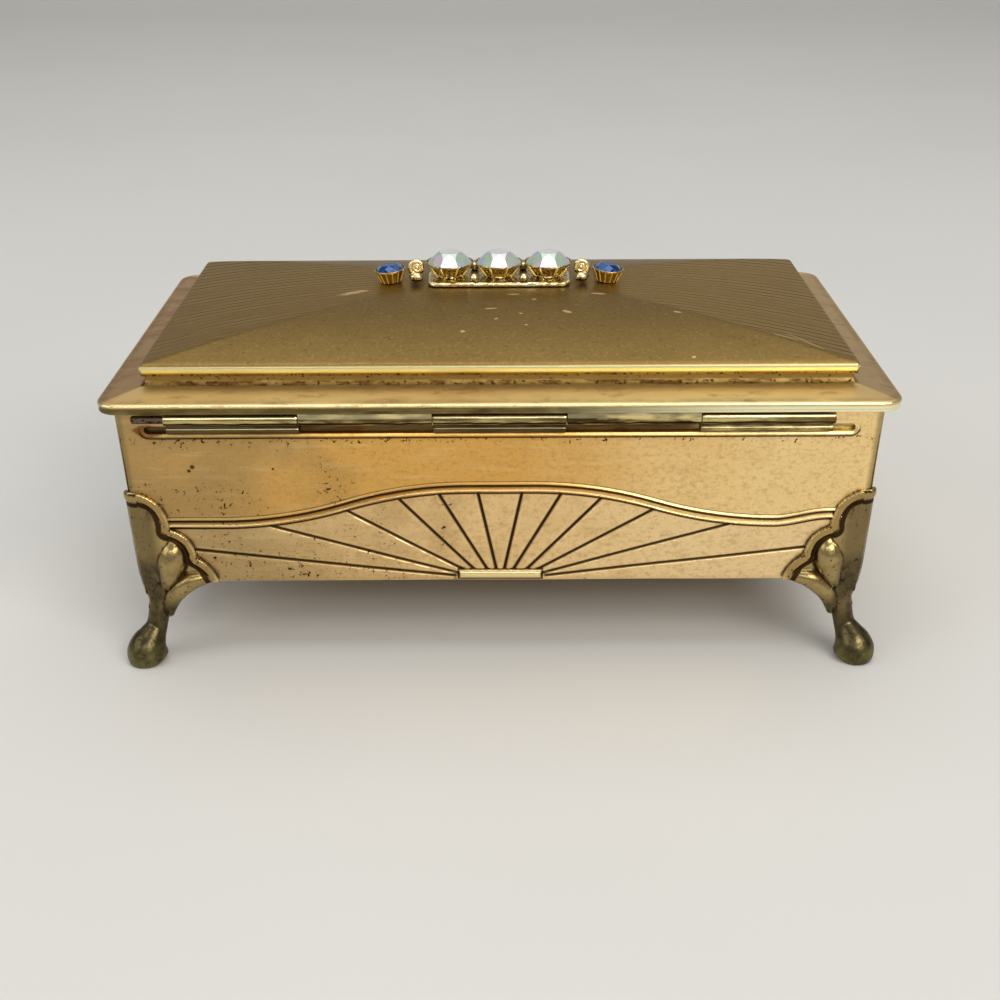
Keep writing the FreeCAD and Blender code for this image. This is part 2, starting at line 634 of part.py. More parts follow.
# Leaf of the foot on one wall, as distances along the wall from the corner and up from the lower edge.
# Scallops are (along, up, radius), bulbs (along, up, half width, half height, swell, lean in degrees).
SCALLOPS = ((-1.0, 11.0, 6.3), (3.5, 5.0, 5.5), (6.7, 0.2, 5.4))
BULBS = ((0.7, 10.8, 1.8, 4.3, 1.5, 5.0), (4.1, 4.9, 2.2, 4.1, 2.0, 16.0), (6.3, -0.5, 4.2, 1.7, 1.6, 18.0))


def leaf_side(along_x):
    """Scalloped border and cast bulbs that the foot lays on one of its two walls."""
    corner, face = "fits.low_y", "fits.low_x"
    if along_x:
        corner, face = "fits.low_x - fits.corner_shift", "fits.low_y"
    discs, bulbs = [], []
    for along, up, radius in SCALLOPS:
        disc = doc.addObject("Part::Cylinder", "scallop")
        turned(disc, (1, 0, 0) if along_x else (0, 1, 0), 90 if along_x else -90)
        middle, side = f"-({corner} - {along})", f"-({face} - dims.scallop_root)"
        bind(disc, Radius=str(radius), Height="2 * dims.knee_radius", z=f"dims.leg_height + {up}",
             x=middle if along_x else side, y=side if along_x else middle)
        discs.append(disc)
    for along, up, wide, tall, thick, tilt in BULBS:
        bulb = doc.addObject("Part::Ellipsoid", "bulb")
        turned(bulb, (0, 1, 0) if along_x else (1, 0, 0), -tilt if along_x else tilt)
        lift = f"fits.lean_slope * {up}"
        middle, side = f"-({corner} - {along})", f"-({face} + {lift})"
        bind(bulb, Radius1=str(tall), Radius2=str(wide if along_x else thick),
             Radius3=str(thick if along_x else wide), z=f"dims.leg_height + {up}",
             x=middle if along_x else side, y=side if along_x else middle)
        bulbs.append(bulb)
    return discs, bulbs


def make_feet():
    discs_x, bulbs_x = leaf_side(True)
    discs_y, bulbs_y = leaf_side(False)
    corner = number("wall_corner")
    limit = body_form("scallop_limit", "dims.scallop_proud", "0", corner + number("scallop_proud"))
    border = common("scallops", fuse("scallop_set", discs_x + discs_y), limit)
    whole = fuse_in_turn("foot_whole", leg() + [border] + bulbs_x + bulbs_y)
    body = body_form("foot_seat", "dims.foot_gap", "dims.foot_gap", corner + number("foot_gap"))
    first = cut("foot_back_left", whole, body)
    right = mirrored("foot_back_right", first, (1, 0, 0))
    return [first, right, mirrored("foot_front_left", first, (0, 1, 0)),
            mirrored("foot_front_right", right, (0, 1, 0))]


# Hinge: five knuckles rolled from two leaves, on one wire pin

def along_axis(name, radius, x0, x1):
    """Cylinder on the hinge axis."""
    rod = turned(doc.addObject("Part::Cylinder", name), (0, 1, 0), 90)
    return bind(rod, Radius=radius, Height=f"({x1}) - ({x0})", x=x0, y="fits.axis_y", z="fits.axis_z")


def knuckle_span(i):
    start = f"-fits.barrel_half + {i} * fits.knuckle_length + dims.knuckle_play / 2"
    return start, start + " + fits.knuckle_length - dims.knuckle_play"


def make_hinge():
    bore = along_axis("hinge_bore", "fits.bore_radius", "-fits.rim_half_x", "fits.rim_half_x")
    inner = "fits.axis_y + dims.barrel_radius"
    outer = "fits.axis_y - dims.barrel_radius"
    step_low, step_high = "fits.slot_z - dims.leaf_sheet / 2", "fits.slot_z + dims.leaf_sheet / 2"
    ends = knuckle_span(0)[0], knuckle_span(4)[1]
    body = [box("body_strip", *ends, "fits.leaf_y", "fits.leaf_y + dims.leaf_sheet",
                "fits.slot_z - dims.leaf_depth", step_high)]
    for i in (0, 2, 4):
        span = knuckle_span(i)
        body.append(along_axis("body_knuckle", "dims.barrel_radius", *span))
        body.append(box("body_tab", *span, inner + " - dims.leaf_sheet", inner, step_low, "fits.axis_z"))
        body.append(box("body_step", *span, inner + " - dims.leaf_sheet", "fits.leaf_y + dims.leaf_sheet",
                        step_low, step_high))
    strip_top = "fits.axis_z + dims.lid_leaf_rise"
    lid = [box("lid_strip", *ends, outer, outer + " + dims.leaf_sheet",
               strip_top + " - dims.lid_leaf_strip", strip_top)]
    for i in (1, 3):
        span = knuckle_span(i)
        lid.append(along_axis("lid_knuckle", "dims.barrel_radius", *span))
        lid.append(box("lid_tab", *span, outer, outer + " + dims.leaf_sheet", "fits.axis_z", strip_top))
    rod = along_axis("pin_rod", "fits.pin_radius", ends[0] + " - dims.pin_out", ends[1] + " - dims.pin_short")
    doc.recompute()
    pin = doc.addObject("Part::Chamfer", "hinge_pin")
    pin.Base = rod
    bevel = number("pin_bevel")
    pin.Edges = [(i, bevel, bevel) for i, edge in enumerate(rod.Shape.Edges, 1) if len(edge.Vertexes) == 1]
    return [cut("hinge_leaf_body", fuse("body_leaf_whole", body), bore),
            cut("hinge_leaf_lid", fuse("lid_leaf_whole", lid), bore), pin]


# Lid frame: lip, sloping flange mitred at the corners, and the collar that carries the panel

def make_lid_frame():
    slope = "dims.flange_rise / dims.flange_width"
    inside_low = f"fits.rim_top - dims.lid_sheet + {slope} * dims.lid_sheet"
    inside_high = f"fits.rim_top + fits.collar_rise - dims.lid_sheet + {slope} * dims.lid_sheet"
    plan_low = [f"fits.rim_half_{way} - dims.lid_sheet" for way in "xy"]
    plan_high = [f"fits.collar_{way} - dims.lid_sheet" for way in "xy"]
    outside = fuse("lid_outside", [
        centred_box("lip_block", "fits.rim_half_x", "fits.rim_half_y", "fits.lip_low", "fits.rim_top"),
        centred_frustum("flange_block", "fits.rim_top", "fits.rim_top + fits.collar_rise",
                        "fits.rim_half_x", "fits.rim_half_y", "fits.collar_x", "fits.collar_y"),
        centred_box("collar_block", "fits.collar_x", "fits.collar_y", "fits.lip_low", "fits.collar_top")])
    below, above = "fits.lip_low - dims.overcut", "fits.collar_top + dims.overcut"
    plan = centred_box("rim_plan_block", "fits.rim_half_x", "fits.rim_half_y", below, above)
    shaped = common("lid_shaped", outside, rounded("rim_plan", plan, number("rim_corner"), upright))
    corner = number("rim_corner") - number("lid_sheet")
    lip_room = centred_box("lip_room_block", *plan_low, below, inside_low)
    flange_room = centred_frustum("flange_room_block", inside_low, inside_high, *plan_low, *plan_high)
    room_plan = centred_box("room_plan_block", *plan_low, below + " - dims.overcut", above)
    room = common("lid_room", fuse("lid_room_whole", [lip_room, flange_room]),
                  rounded("room_plan", room_plan, corner, upright))
    throat = centred_box("collar_room", *plan_high, below, above)
    return [cut("lid_frame", cut("lid_part_open", shaped, room), throat)]


# Lid panel and its padded lining

def make_panel():
    flats = ("dome_flat_x", "dome_flat_y")
    solid = hipped_block("panel_solid", "panel", ("panel_low", "panel_edge", "panel_apex"), flats,
                         number("panel_edge_round"))
    hollow = hipped_block("panel_hollow", "hollow", ("hollow_low", "hollow_edge", "hollow_apex"), flats)
    holes = [add("Part::Cylinder", "post_hole", Radius="dims.post_radius + dims.post_play",
                 Height="fits.panel_apex - fits.panel_low + dims.overcut", x=f"{side}dims.stone_pitch / 2",
                 z="fits.panel_low") for side in ("-", "")]
    panel = cut("lid_panel", cut("panel_open", solid, hollow), fuse("post_holes", holes))
    pad = hipped_block("lid_pad", "pad", ("pad_top", "pad_edge", "pad_apex"), ("pad_flat", "pad_flat_y"))
    return [panel, pad]


# Ornament: bar with posts, cups, stones, scroll links and balls

def make_bar():
    plate_block = centred_box("bar_block", "dims.bar_length / 2", "dims.bar_width / 2", "fits.bar_low",
                              "fits.bar_top")
    parts = [rounded("bar_plate", plate_block, number("bar_corner"), upright)]
    under = "fits.hollow_apex - dims.bar_gap - dims.post_head_sheet"
    for side in ("-", ""):
        place = {"x": f"{side}dims.stone_pitch / 2", "z": under}
        parts.append(add("Part::Cylinder", "post", Radius="dims.post_radius",
                         Height=f"fits.bar_top - ({under})", **place))
        parts.append(add("Part::Cylinder", "post_head", Radius="dims.post_head",
                         Height="dims.post_head_sheet", **place))
    return [fuse("ornament_bar", parts)]


def cup(name, points):
    """Turned cup; points are radius and height in named sizes."""
    body = doc.addObject("PartDesign::Body", name)
    sketch = body_sketch(body, name + "_profile", "XZ_Plane")
    outline(sketch, points)
    turn = body.newObject("PartDesign::Revolution", name + "_turned")
    turn.Profile = sketch
    turn.ReferenceAxis = (sketch, ["V_Axis"])
    turn.Angle = 360
    body.Tip = turn
    return body


FLUTES = 12


def flutes(body, name):
    """Notches round a cup's rim, cut once and repeated in a ring."""
    doc.recompute()
    sketch = body_sketch(body, name + "_flute_plan", "YZ_Plane")
    outline(sketch, (("-flute_half", "flute_low"), ("flute_half", "flute_low"), ("flute_half", "end_rim"),
                     ("-flute_half", "end_rim")))
    notch = body.newObject("PartDesign::Pocket", name + "_flute")
    notch.Profile = sketch
    notch.Type = "Length"
    notch.Reversed = True
    bind(notch, Length="dims.end_radius * 2")
    body.Tip = notch
    ring = body.newObject("PartDesign::PolarPattern", name + "_flutes")
    ring.Originals = [notch]
    axis = [item for item in body.Origin.OriginFeatures if item.Role == "Z_Axis"][0]
    ring.Axis = (axis, [""])
    ring.Angle = 360
    ring.Occurrences = FLUTES
    body.Tip = ring


STONE_SIDES = 8


def stone(name, levels):
    """Eight-sided stone, lofted straight from ring to ring of (radius, height)."""
    rings = []
    for radius, height in levels:
        ring = add("Part::RegularPolygon", name + "_ring", Circumradius=radius, z=height)
        ring.Polygon = STONE_SIDES
        rings.append(ring)
    gem = doc.addObject("Part::Loft", name)
    gem.Sections = rings
    gem.Solid = True
    gem.Ruled = True
    return gem


def make_ornament():
    made = make_bar()
    for i, side in enumerate(("left", "centre", "right")):
        place = {"x": f"{i - 1} * dims.stone_pitch", "z": "fits.bar_top"}
        holder = cup("cup_" + side, (("0", "0"), ("cup_foot", "0"), ("cup_rim_radius", "stone_girdle"),
                                     ("cup_rim_radius", "cup_rim"), ("cup_bore", "cup_rim"),
                                     ("cup_bore", "cup_shoulder"), ("cup_well", "cup_floor"),
                                     ("0", "cup_floor")))
        made.append(bind(holder, **place))
        gem = stone("crystal_" + side, (
            ("dims.stone_culet", "dims.cup_floor + dims.culet_gap"),
            ("dims.stone_radius", "dims.stone_girdle - dims.stone_edge"),
            ("dims.stone_radius", "dims.stone_girdle"),
            ("dims.stone_table", "dims.stone_girdle + dims.stone_crown")))
        made.append(bind(gem, **place))
    for side, sign in (("left", -1), ("right", 1)):
        place = {"x": f"{sign} * dims.end_x", "z": "fits.end_low"}
        lean = ((0, 1, 0), sign * number("end_tilt"))
        holder = cup("end_cup_" + side, (("0", "0"), ("end_foot", "0"), ("end_rim_radius", "end_girdle"),
                                         ("end_rim_radius", "end_rim"), ("end_bore", "end_rim"),
                                         ("end_bore", "end_shoulder"), ("end_well", "cup_floor"),
                                         ("0", "cup_floor")))
        flutes(holder, "end_cup_" + side)
        made.append(bind(turned(holder, *lean), **place))
        gem = stone("blue_stone_" + side, (
            ("dims.end_culet", "dims.cup_floor + dims.culet_gap"),
            ("dims.end_radius", "dims.end_girdle - dims.end_edge"),
            ("dims.end_radius", "dims.end_girdle"),
            ("dims.end_table", "dims.end_girdle + dims.end_crown")))
        made.append(bind(turned(gem, *lean), **place))
    for side, sign in (("left", "-"), ("right", "")):
        middle = f"{sign}fits.link_x"
        ring = turned(doc.addObject("Part::Torus", "link_ring"), (1, 0, 0), 90)
        bind(ring, Radius1="dims.ring_radius", Radius2="dims.ring_wire", x=middle,
             z="fits.bar_top + dims.ring_radius + dims.ring_wire * 0.5")
        plate = box("link_plate", f"{middle} - dims.link_half", f"{middle} + dims.link_half",
                    "-dims.link_reach", "dims.link_reach", "fits.bar_low", "fits.bar_top")
        parts = [ring, plate]
        for way in ("-", ""):
            parts.append(add("Part::Sphere", "link_ball", Radius="dims.ball_radius", x=middle,
                             y=f"{way}dims.link_ball_out", z="fits.bar_top + dims.ball_radius * 0.6"))
        made.append(fuse("scroll_" + side, parts))
    balls = []
    for x in ("-", ""):
        for y in ("-", ""):
            ball = add("Part::Sphere", "ball", Radius="dims.ball_radius", x=f"{x}dims.stone_pitch / 2",
                       y=f"{y}(dims.bar_width / 2 - dims.ball_radius)",
                       z="fits.bar_top + dims.ball_radius * sin(dims.ball_cut)", Angle1="-dims.ball_cut")
            balls.append(ball)
    group = doc.addObject("Part::Compound", "ornament_beads")
    group.Links = balls
    made.append(group)
    return made


pieces = make_walls() + make_floor() + make_linings() + make_feet() + make_hinge()
pieces += make_lid_frame() + make_panel() + make_ornament()
doc.recompute()

# Checks and export

for thing in doc.Objects:
    if "Invalid" in thing.State or "Error" in thing.State:
        raise RuntimeError(f"{thing.Name} did not build: {thing.State}")
os.makedirs("parts", exist_ok=True)
for piece in pieces:
    shape = piece.Shape
    if shape.isNull() or not shape.isValid():
        raise RuntimeError(f"{piece.Label} has no valid shape")
    shape.exportStep(f"parts/{piece.Label}.step")
    print(f"{piece.Label}: {len(shape.Solids)} solid, {shape.Volume:.2f} mm3, {len(shape.Faces)} faces")
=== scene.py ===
import math

import bmesh
import bpy
import numpy as np
from mathutils import Euler, Matrix, Vector, noise
from mathutils.geometry import delaunay_2d_cdt


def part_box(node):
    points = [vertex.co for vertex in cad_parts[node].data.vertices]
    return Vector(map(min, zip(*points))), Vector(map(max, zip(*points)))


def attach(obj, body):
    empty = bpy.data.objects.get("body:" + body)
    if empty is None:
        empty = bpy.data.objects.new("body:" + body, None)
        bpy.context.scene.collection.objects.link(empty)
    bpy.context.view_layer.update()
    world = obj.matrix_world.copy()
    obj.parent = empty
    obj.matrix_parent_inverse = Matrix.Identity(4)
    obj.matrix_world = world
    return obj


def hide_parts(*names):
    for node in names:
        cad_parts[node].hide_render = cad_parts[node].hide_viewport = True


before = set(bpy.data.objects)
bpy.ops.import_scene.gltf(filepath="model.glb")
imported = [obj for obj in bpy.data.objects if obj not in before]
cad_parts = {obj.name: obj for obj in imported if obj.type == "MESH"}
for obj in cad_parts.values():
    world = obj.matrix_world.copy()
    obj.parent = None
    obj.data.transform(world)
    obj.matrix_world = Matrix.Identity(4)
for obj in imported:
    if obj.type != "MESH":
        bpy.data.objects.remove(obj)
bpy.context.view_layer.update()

# Walls
# Four plates of sheet brass, each pressed with a sunburst under an arched moulding, bent round the
# upright corners and soldered together at the mitres. The back one is slotted for the hinge.

MM = 0.001


def box_mm(node):
    """Lowest and highest corner of a frame node in millimetres."""
    low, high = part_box(node)
    return np.array(low) / MM, np.array(high) / MM


WALL_SHEET = 0.8
WALL_CORNER = 1.8
FLOOR_GAP = 0.03
wall_foot = box_mm("wall_front")[0][2]
wall_height = box_mm("wall_front")[1][2] - wall_foot
wall_top_half = np.array((-box_mm("wall_left")[0][0], -box_mm("wall_back")[0][1]))
wall_low_half = box_mm("base_plate")[1][:2] + FLOOR_GAP + WALL_SHEET
wall_lean = (wall_top_half[0] - wall_low_half[0]) / wall_height

# Rays are (start along the wall, start above the lower edge, climb in degrees), mirrored about the middle.
LONG_BURST = {
    "crest": 17.5, "side": 11.1, "crest_half": 5.0, "swing": 41.0, "end": 56.5, "turn_up": 1.3,
    "hub_half": 7.0,
    "rays": ((0.7, 2.2, 78.5), (2.3, 2.2, 61.2), (4.6, 2.2, 47.6), (6.6, 2.2, 30.6), (7.1, 1.3, 16.6),
             (7.6, 0.8, 6.9)),
}
SHORT_BURST = {
    "crest": 15.3, "side": 11.1, "crest_half": 1.5, "swing": 17.0, "end": 28.5, "turn_up": 0.0,
    "hub_half": 4.0,
    "rays": ((0.6, 2.2, 76.0), (1.9, 2.2, 56.0), (3.4, 2.2, 36.0), (4.3, 1.2, 17.0)),
}
HUB_MIDDLE = 1.2
HUB_HALF_HEIGHT = 0.8
# Lines of the mesh: so far from the moulding, from a ray, and out from the edges of hub and slot.
MOULDING_LINES = (-1.25, -1.08, -0.94, -0.8, -0.62, -0.45, -0.28, -0.1, 0.06, 0.2, 0.36, 0.52, 0.68, 0.85,
                  1.0, 1.2, 1.42)
RAY_LINES = (-0.6, -0.42, -0.22, 0.0, 0.22, 0.42, 0.6)
RAY_DEPTH = 0.34
HUB_LINES = (-0.5, -0.25, 0.0, 0.12, 0.34)
HUB_RELIEF = 0.5
SLOT_LINES = (0.0, 0.18, 0.36, 0.56, 0.78, 0.98)
SLOT_BELOW_RIM = 5.14
SLOT_HALF_LENGTH = 57.2
SLOT_HALF_HEIGHT = 0.7
slot_middle = wall_height - SLOT_BELOW_RIM
# Bands of the moulding: (place across it, half width, amount).
MOULDING_RELIEF = ((0.85, 0.3, 0.3), (-0.28, 0.5, 0.58), (0.38, 0.3, -0.15))
MOULDING_HOLLOWS = ((0.36, 0.34, 1.0), (-0.92, 0.28, 1.0), (1.2, 0.2, 0.55))
# MOULDING_EDGES are bands of painted highlight along the beads of the moulding.
MOULDING_EDGES = ((0.87, 0.24, 0.8), (-0.26, 0.38, 1.0))
LOWER_ROUND = 0.35
MESH_STEP = 1.2
MESH_NEAR = 1e-4


def ramp(value, start, end):
    """0 up to start, 1 from end on and even between; start above end turns it round."""
    return np.clip((value - start) / (end - start), 0, 1)


def moulding_line(x, burst):
    """Height of the moulding above the lower edge: level, swung down in two arcs, level, up at one end."""
    swing = burst["swing"]
    fall = burst["crest"] - burst["side"]
    half = swing / 2
    radius = (half ** 2 + (fall / 2) ** 2) / fall
    reach = np.clip(np.abs(x) - burst["crest_half"], 0, swing)
    upper = radius - np.sqrt(radius ** 2 - np.minimum(reach, half) ** 2)
    lower = radius - np.sqrt(radius ** 2 - (swing - np.maximum(reach, half)) ** 2)
    end = ramp(x, burst["end"] - 11.0, burst["end"] - 2.0)
    turn = burst["turn_up"] * end ** 2 * (3 - 2 * end)
    return np.where(reach < half, burst["crest"] - upper, burst["side"] + lower) + turn


def moulding_slope(x, burst):
    """Steepness of that line."""
    step = 0.05
    return (moulding_line(x + step, burst) - moulding_line(x - step, burst)) / (2 * step)


def ray_ends(ray, burst):
    """Where a ray starts at the hub and where it runs out under the moulding or beside the foot."""
    x, h, climb = ray
    way = np.array((math.cos(math.radians(climb)), math.sin(math.radians(climb))))
    start = np.array((x, h))
    run = np.arange(0, burst["end"], 0.1)
    points = start + run[:, None] * way
    under_moulding = points[:, 1] < moulding_line(points[:, 0], burst) - 1.0
    beside_foot = points[:, 0] < burst["end"] - 5.4
    return start, points[under_moulding & beside_foot][-1], way


def ridge(distance, half_width):
    """Rounded ridge: 1 on its crest, 0 from half_width on."""
    return 0.5 + 0.5 * np.cos(np.pi * ramp(np.abs(distance), 0, half_width))


def banded(distance, bands):
    """One row of ridges for each band of (place, half width, amount)."""
    return np.array([amount * ridge(distance - place, half_width) for place, half_width, amount in bands])


def slot_distance(x, h):
    """How far a point of the back wall lies outside the slot; negative inside it."""
    over = np.maximum(np.abs(x) - (SLOT_HALF_LENGTH - SLOT_HALF_HEIGHT), 0)
    return np.hypot(over, h - slot_middle) - SLOT_HALF_HEIGHT


def press(x, h, burst, slot):
    """Relief of the pressed face in millimetres, and how hollow and how exposed each point of it is; how
    exposed sets painted highlights.
    """
    d = (h - moulding_line(x, burst)) / np.sqrt(1 + moulding_slope(x, burst) ** 2)
    relief = banded(d, MOULDING_RELIEF).sum(0) - 0.1 * ramp(d, -0.6, -1.0)
    hollow = banded(d, MOULDING_HOLLOWS).max(0)
    edge = banded(d, MOULDING_EDGES).max(0)
    for ray in burst["rays"]:
        start, end, way = ray_ends(ray, burst)
        for side in (-1, 1):
            from_start = np.stack((x * side - start[0], h - start[1]), 1)
            along = np.clip(from_start @ way, 0, np.linalg.norm(end - start))
            distance = np.linalg.norm(from_start - along[:, None] * way, axis=1)
            relief -= RAY_DEPTH * ridge(distance, 0.44)
            hollow = np.maximum(hollow, ridge(distance, 0.46))
            # Painted highlight along a shoulder on either side of each ray.
            edge = np.maximum(edge, 0.6 * ridge(distance - 0.58, 0.16))
    hub = np.maximum(np.abs(x) - burst["hub_half"], np.abs(h - HUB_MIDDLE) - HUB_HALF_HEIGHT)
    relief += HUB_RELIEF * np.sqrt(ramp(hub, 0, -0.5))
    hollow = np.maximum(hollow, ridge(hub - 0.12, 0.22))
    # Painted highlight over the raised hub.
    edge = np.maximum(edge, ramp(hub, 0, -0.3))
    if slot:
        out = slot_distance(x, h)
        below = ramp(h, slot_middle + 0.3, slot_middle - 0.3)
        relief += 0.2 * ridge(out - 0.36, 0.34) * below
        # Painted highlight on the ridge under the slot.
        edge = np.maximum(edge, 0.35 * ridge(out - 0.3, 0.2) * below)
        hollow = np.maximum(hollow, 0.9 * ridge(out - 0.78, 0.3) * below)
    # Painted highlight along the rounded lower edge.
    lower_edge = ramp(h, LOWER_ROUND, 0)
    return relief - 0.15 * lower_edge, hollow, np.maximum(edge, lower_edge * 0.8)


def sampled(start, end, step):
    """Evenly spaced points of a straight run."""
    count = max(2, int(math.ceil(math.dist(start, end) / step)) + 1)
    return np.linspace(start, end, count)


def wall_lines(straight_low, straight_top, burst, slot):
    """Lines that the wall's mesh has to follow, in the flattened plane of the wall."""
    bend = WALL_CORNER * math.pi / 4
    lines = []
    for part in np.linspace(0, 1, 5):
        for side in (-1, 1):
            low = (side * (straight_low + part * bend), 0.0)
            high = (side * (straight_top + part * bend), wall_height)
            lines.append(sampled(low, high, MESH_STEP))
    for h, half in ((0.0, straight_low + bend), (wall_height, straight_top + bend),
                    (LOWER_ROUND, straight_low)):
        lines.append(sampled((-half, h), (half, h), MESH_STEP))
    x = np.linspace(-burst["end"], burst["end"], int(burst["end"] * 4))
    lift = np.sqrt(1 + moulding_slope(x, burst) ** 2)
    for offset in MOULDING_LINES:
        lines.append(np.stack((x, moulding_line(x, burst) + offset * lift), 1))
    for ray in burst["rays"]:
        start, end, way = ray_ends(ray, burst)
        across = np.array((-way[1], way[0]))
        for offset in RAY_LINES:
            line = sampled(start + across * offset, end + across * offset, 1.0)
            lines.append(line)
            lines.append(line * (-1, 1))
    for grow in HUB_LINES:
        x1 = burst["hub_half"] + grow
        h0 = HUB_MIDDLE - HUB_HALF_HEIGHT - grow
        h1 = HUB_MIDDLE + HUB_HALF_HEIGHT + grow
        corners = ((-x1, h0), (x1, h0), (x1, h1), (-x1, h1), (-x1, h0))
        lines += [sampled(a, b, 0.9) for a, b in zip(corners, corners[1:])]
    if slot:
        turn = np.linspace(-math.pi / 2, math.pi / 2, 9)
        cap = SLOT_HALF_LENGTH - SLOT_HALF_HEIGHT
        for grow in SLOT_LINES:
            radius = SLOT_HALF_HEIGHT + grow
            right = np.stack((cap + radius * np.cos(turn), slot_middle + radius * np.sin(turn)), 1)
            lines += [right, right * (-1, 1)]
            for h in (slot_middle - radius, slot_middle + radius):
                lines.append(sampled((-cap, h), (cap, h), MESH_STEP))
    return lines


def linked(name, data):
    """Object of a mesh, a light or a camera, put in the scene."""
    thing = bpy.data.objects.new(name, data)
    bpy.context.scene.collection.objects.link(thing)
    return thing


def shaded(name, mesh, sharp, merge=0.0):
    """Piece with its faces turned outward, smooth but for sharp edges; points within merge become one."""
    form = bmesh.new()
    form.from_mesh(mesh)
    if merge:
        bmesh.ops.remove_doubles(form, verts=form.verts, dist=merge)
    bmesh.ops.recalc_face_normals(form, faces=form.faces)
    form.to_mesh(mesh)
    form.free()
    mesh.shade_smooth()
    mesh.set_sharp_from_angle(angle=math.radians(sharp))
    return linked(name, mesh)


def set_mark(mesh, name, values, domain="POINT"):
    """Writes a named number on each point or face of a mesh, for the finish to read."""
    layer = mesh.attributes.get(name) or mesh.attributes.new(name, "FLOAT", domain)
    layer.data.foreach_set("value", np.asarray(values, np.float32))


def mesh_piece(name, points, faces, material, marks=None, sharp=40):
    """Piece from points in millimetres, with named marks on its points."""
    mesh = bpy.data.meshes.new(name)
    mesh.from_pydata((np.asarray(points) * MM).tolist(), [], faces)
    piece = shaded(name, mesh, sharp)
    for mark, values in (marks or {}).items():
        set_mark(mesh, mark, values)
    mesh.materials.append(material)
    return piece


def dress(piece, body, node):
    """Lets a piece ride on its body and stand for its frame node, which is hidden."""
    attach(piece, body)
    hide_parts(node)


class Value:
    """One socket of a node tree; sums written with it become Math nodes."""

    def __init__(self, recipe, socket):
        self.recipe = recipe
        self.socket = socket

    def math(self, operation, *terms):
        """Math node of the same tree."""
        return self.recipe.node("ShaderNodeMath", dict(enumerate(terms)), operation=operation)

    def __add__(self, other):
        return self.math("ADD", self, other)

    def __sub__(self, other):
        return self.math("SUBTRACT", self, other)

    def __rsub__(self, other):
        return self.math("SUBTRACT", other, self)

    def __mul__(self, other):
        return self.math("MULTIPLY", self, other)

    def __truediv__(self, other):
        return self.math("DIVIDE", self, other)

    def __pow__(self, other):
        return self.math("POWER", self, other)

    def __abs__(self):
        return self.math("ABSOLUTE", self)

    __radd__ = __add__
    __rmul__ = __mul__

    def at_least(self, other):
        """The larger of two values."""
        return self.math("MAXIMUM", self, other)

    def at_most(self, other):
        """The smaller of two values."""
        return self.math("MINIMUM", self, other)

    def rise(self, start, end):
        """0 up to start, 1 from end on, smooth between; start above end turns it round."""
        return self.recipe.node("ShaderNodeMapRange", {"Value": self, "From Min": start, "From Max": end},
                                interpolation_type="SMOOTHSTEP")


class Recipe:
    """A node tree that is being put together."""

    def __init__(self, tree):
        self.tree = tree

    def node(self, kind, inputs=None, output=0, **settings):
        """Adds a node, sets it, links or sets its inputs, and gives one of its outputs."""
        made = self.tree.nodes.new(kind)
        for key, value in settings.items():
            setattr(made, key, value)
        for key, value in (inputs or {}).items():
            if isinstance(value, Value):
                self.tree.links.new(value.socket, made.inputs[key])
            else:
                made.inputs[key].default_value = value
        return Value(self, made.outputs[output])

    def vector(self, **parts):
        """Vector with some of the parts X, Y and Z; the others are 0."""
        return self.node("ShaderNodeCombineXYZ", parts)


def tone(red, green, blue):
    """Colour as the eye sees it, 0 to 255, turned into light for a shader."""
    return tuple((c / 255) ** 2.2 for c in (red, green, blue)) + (1.0,)


class Finish(Recipe):
    """A surface finish that is laid on coat by coat."""

    def __init__(self, name, colour, roughness, metallic=1.0):
        self.material = bpy.data.materials.new(name)
        self.material.use_nodes = True
        super().__init__(self.material.node_tree)
        self.shader = self.tree.nodes["Principled BSDF"]
        self.shader.inputs["Metallic"].default_value = metallic
        self.colour = tone(*colour)
        self.roughness = roughness
        self.height = 0.0
        self.place = self.node("ShaderNodeTexCoord", output="Object")

    def along(self, axis):
        """Place along X, Y or Z in millimetres."""
        return self.node("ShaderNodeSeparateXYZ", {0: self.place}, axis) / MM

    def mark(self, name):
        """Number that the mesh carries under a name."""
        return self.node("ShaderNodeAttribute", output="Fac", attribute_name=name)

    def clouds(self, size, detail=3.0, stretch=(1, 1, 1), shift=0.0, sharp=0.55):
        """Cloudy pattern about 0.5, with patches about size millimetres across."""
        scale = tuple(part / (size * MM) for part in stretch)
        place = self.node("ShaderNodeMapping",
                          {"Vector": self.place, "Scale": scale, "Location": (shift,) * 3})
        return self.node("ShaderNodeTexNoise",
                         {"Vector": place, "Scale": 1.0, "Detail": detail, "Roughness": sharp})

    def pits(self, size, cover, where=1.0, shift=0.0):
        """Mask of small corroded specks: cover is how much of the surface they take where where is 1."""
        none_below = 0.74
        return (self.clouds(size, 4.0, shift=shift, sharp=0.7) - (none_below - where * cover)).rise(0.0, 0.05)

    def lay(self, mask, colour, roughness):
        """Lays a colour and a roughness over what is there."""
        self.colour = self.node("ShaderNodeMix", {0: mask, 6: self.colour, 7: tone(*colour)}, 2,
                                data_type="RGBA")
        self.roughness = self.roughness + mask * (roughness - self.roughness)

    def emboss(self, height, depth):
        """Adds a fine relief of depth millimetres."""
        self.height = self.height + height * (depth * MM)

    def done(self, **constants):
        """Closes the tree, with some inputs of the shader set, and gives the material."""
        for name, value in (("Base Color", self.colour), ("Roughness", self.roughness)):
            if isinstance(value, Value):
                self.tree.links.new(value.socket, self.shader.inputs[name])
            else:
                self.shader.inputs[name].default_value = value
        for name, value in constants.items():
            self.shader.inputs[name.replace("_", " ")].default_value = value
        if isinstance(self.height, Value):
            bump = self.node("ShaderNodeBump",
                             {"Height": self.height, "Strength": 1.0, "Distance": 1.0})
            self.tree.links.new(bump.socket, self.shader.inputs["Normal"])
        return self.material


def oval(x, y, half_x, half_y):
    """Square of the distance from the middle of an oval, 1 on its edge."""
    return (x / half_x) ** 2 + (y / half_y) ** 2


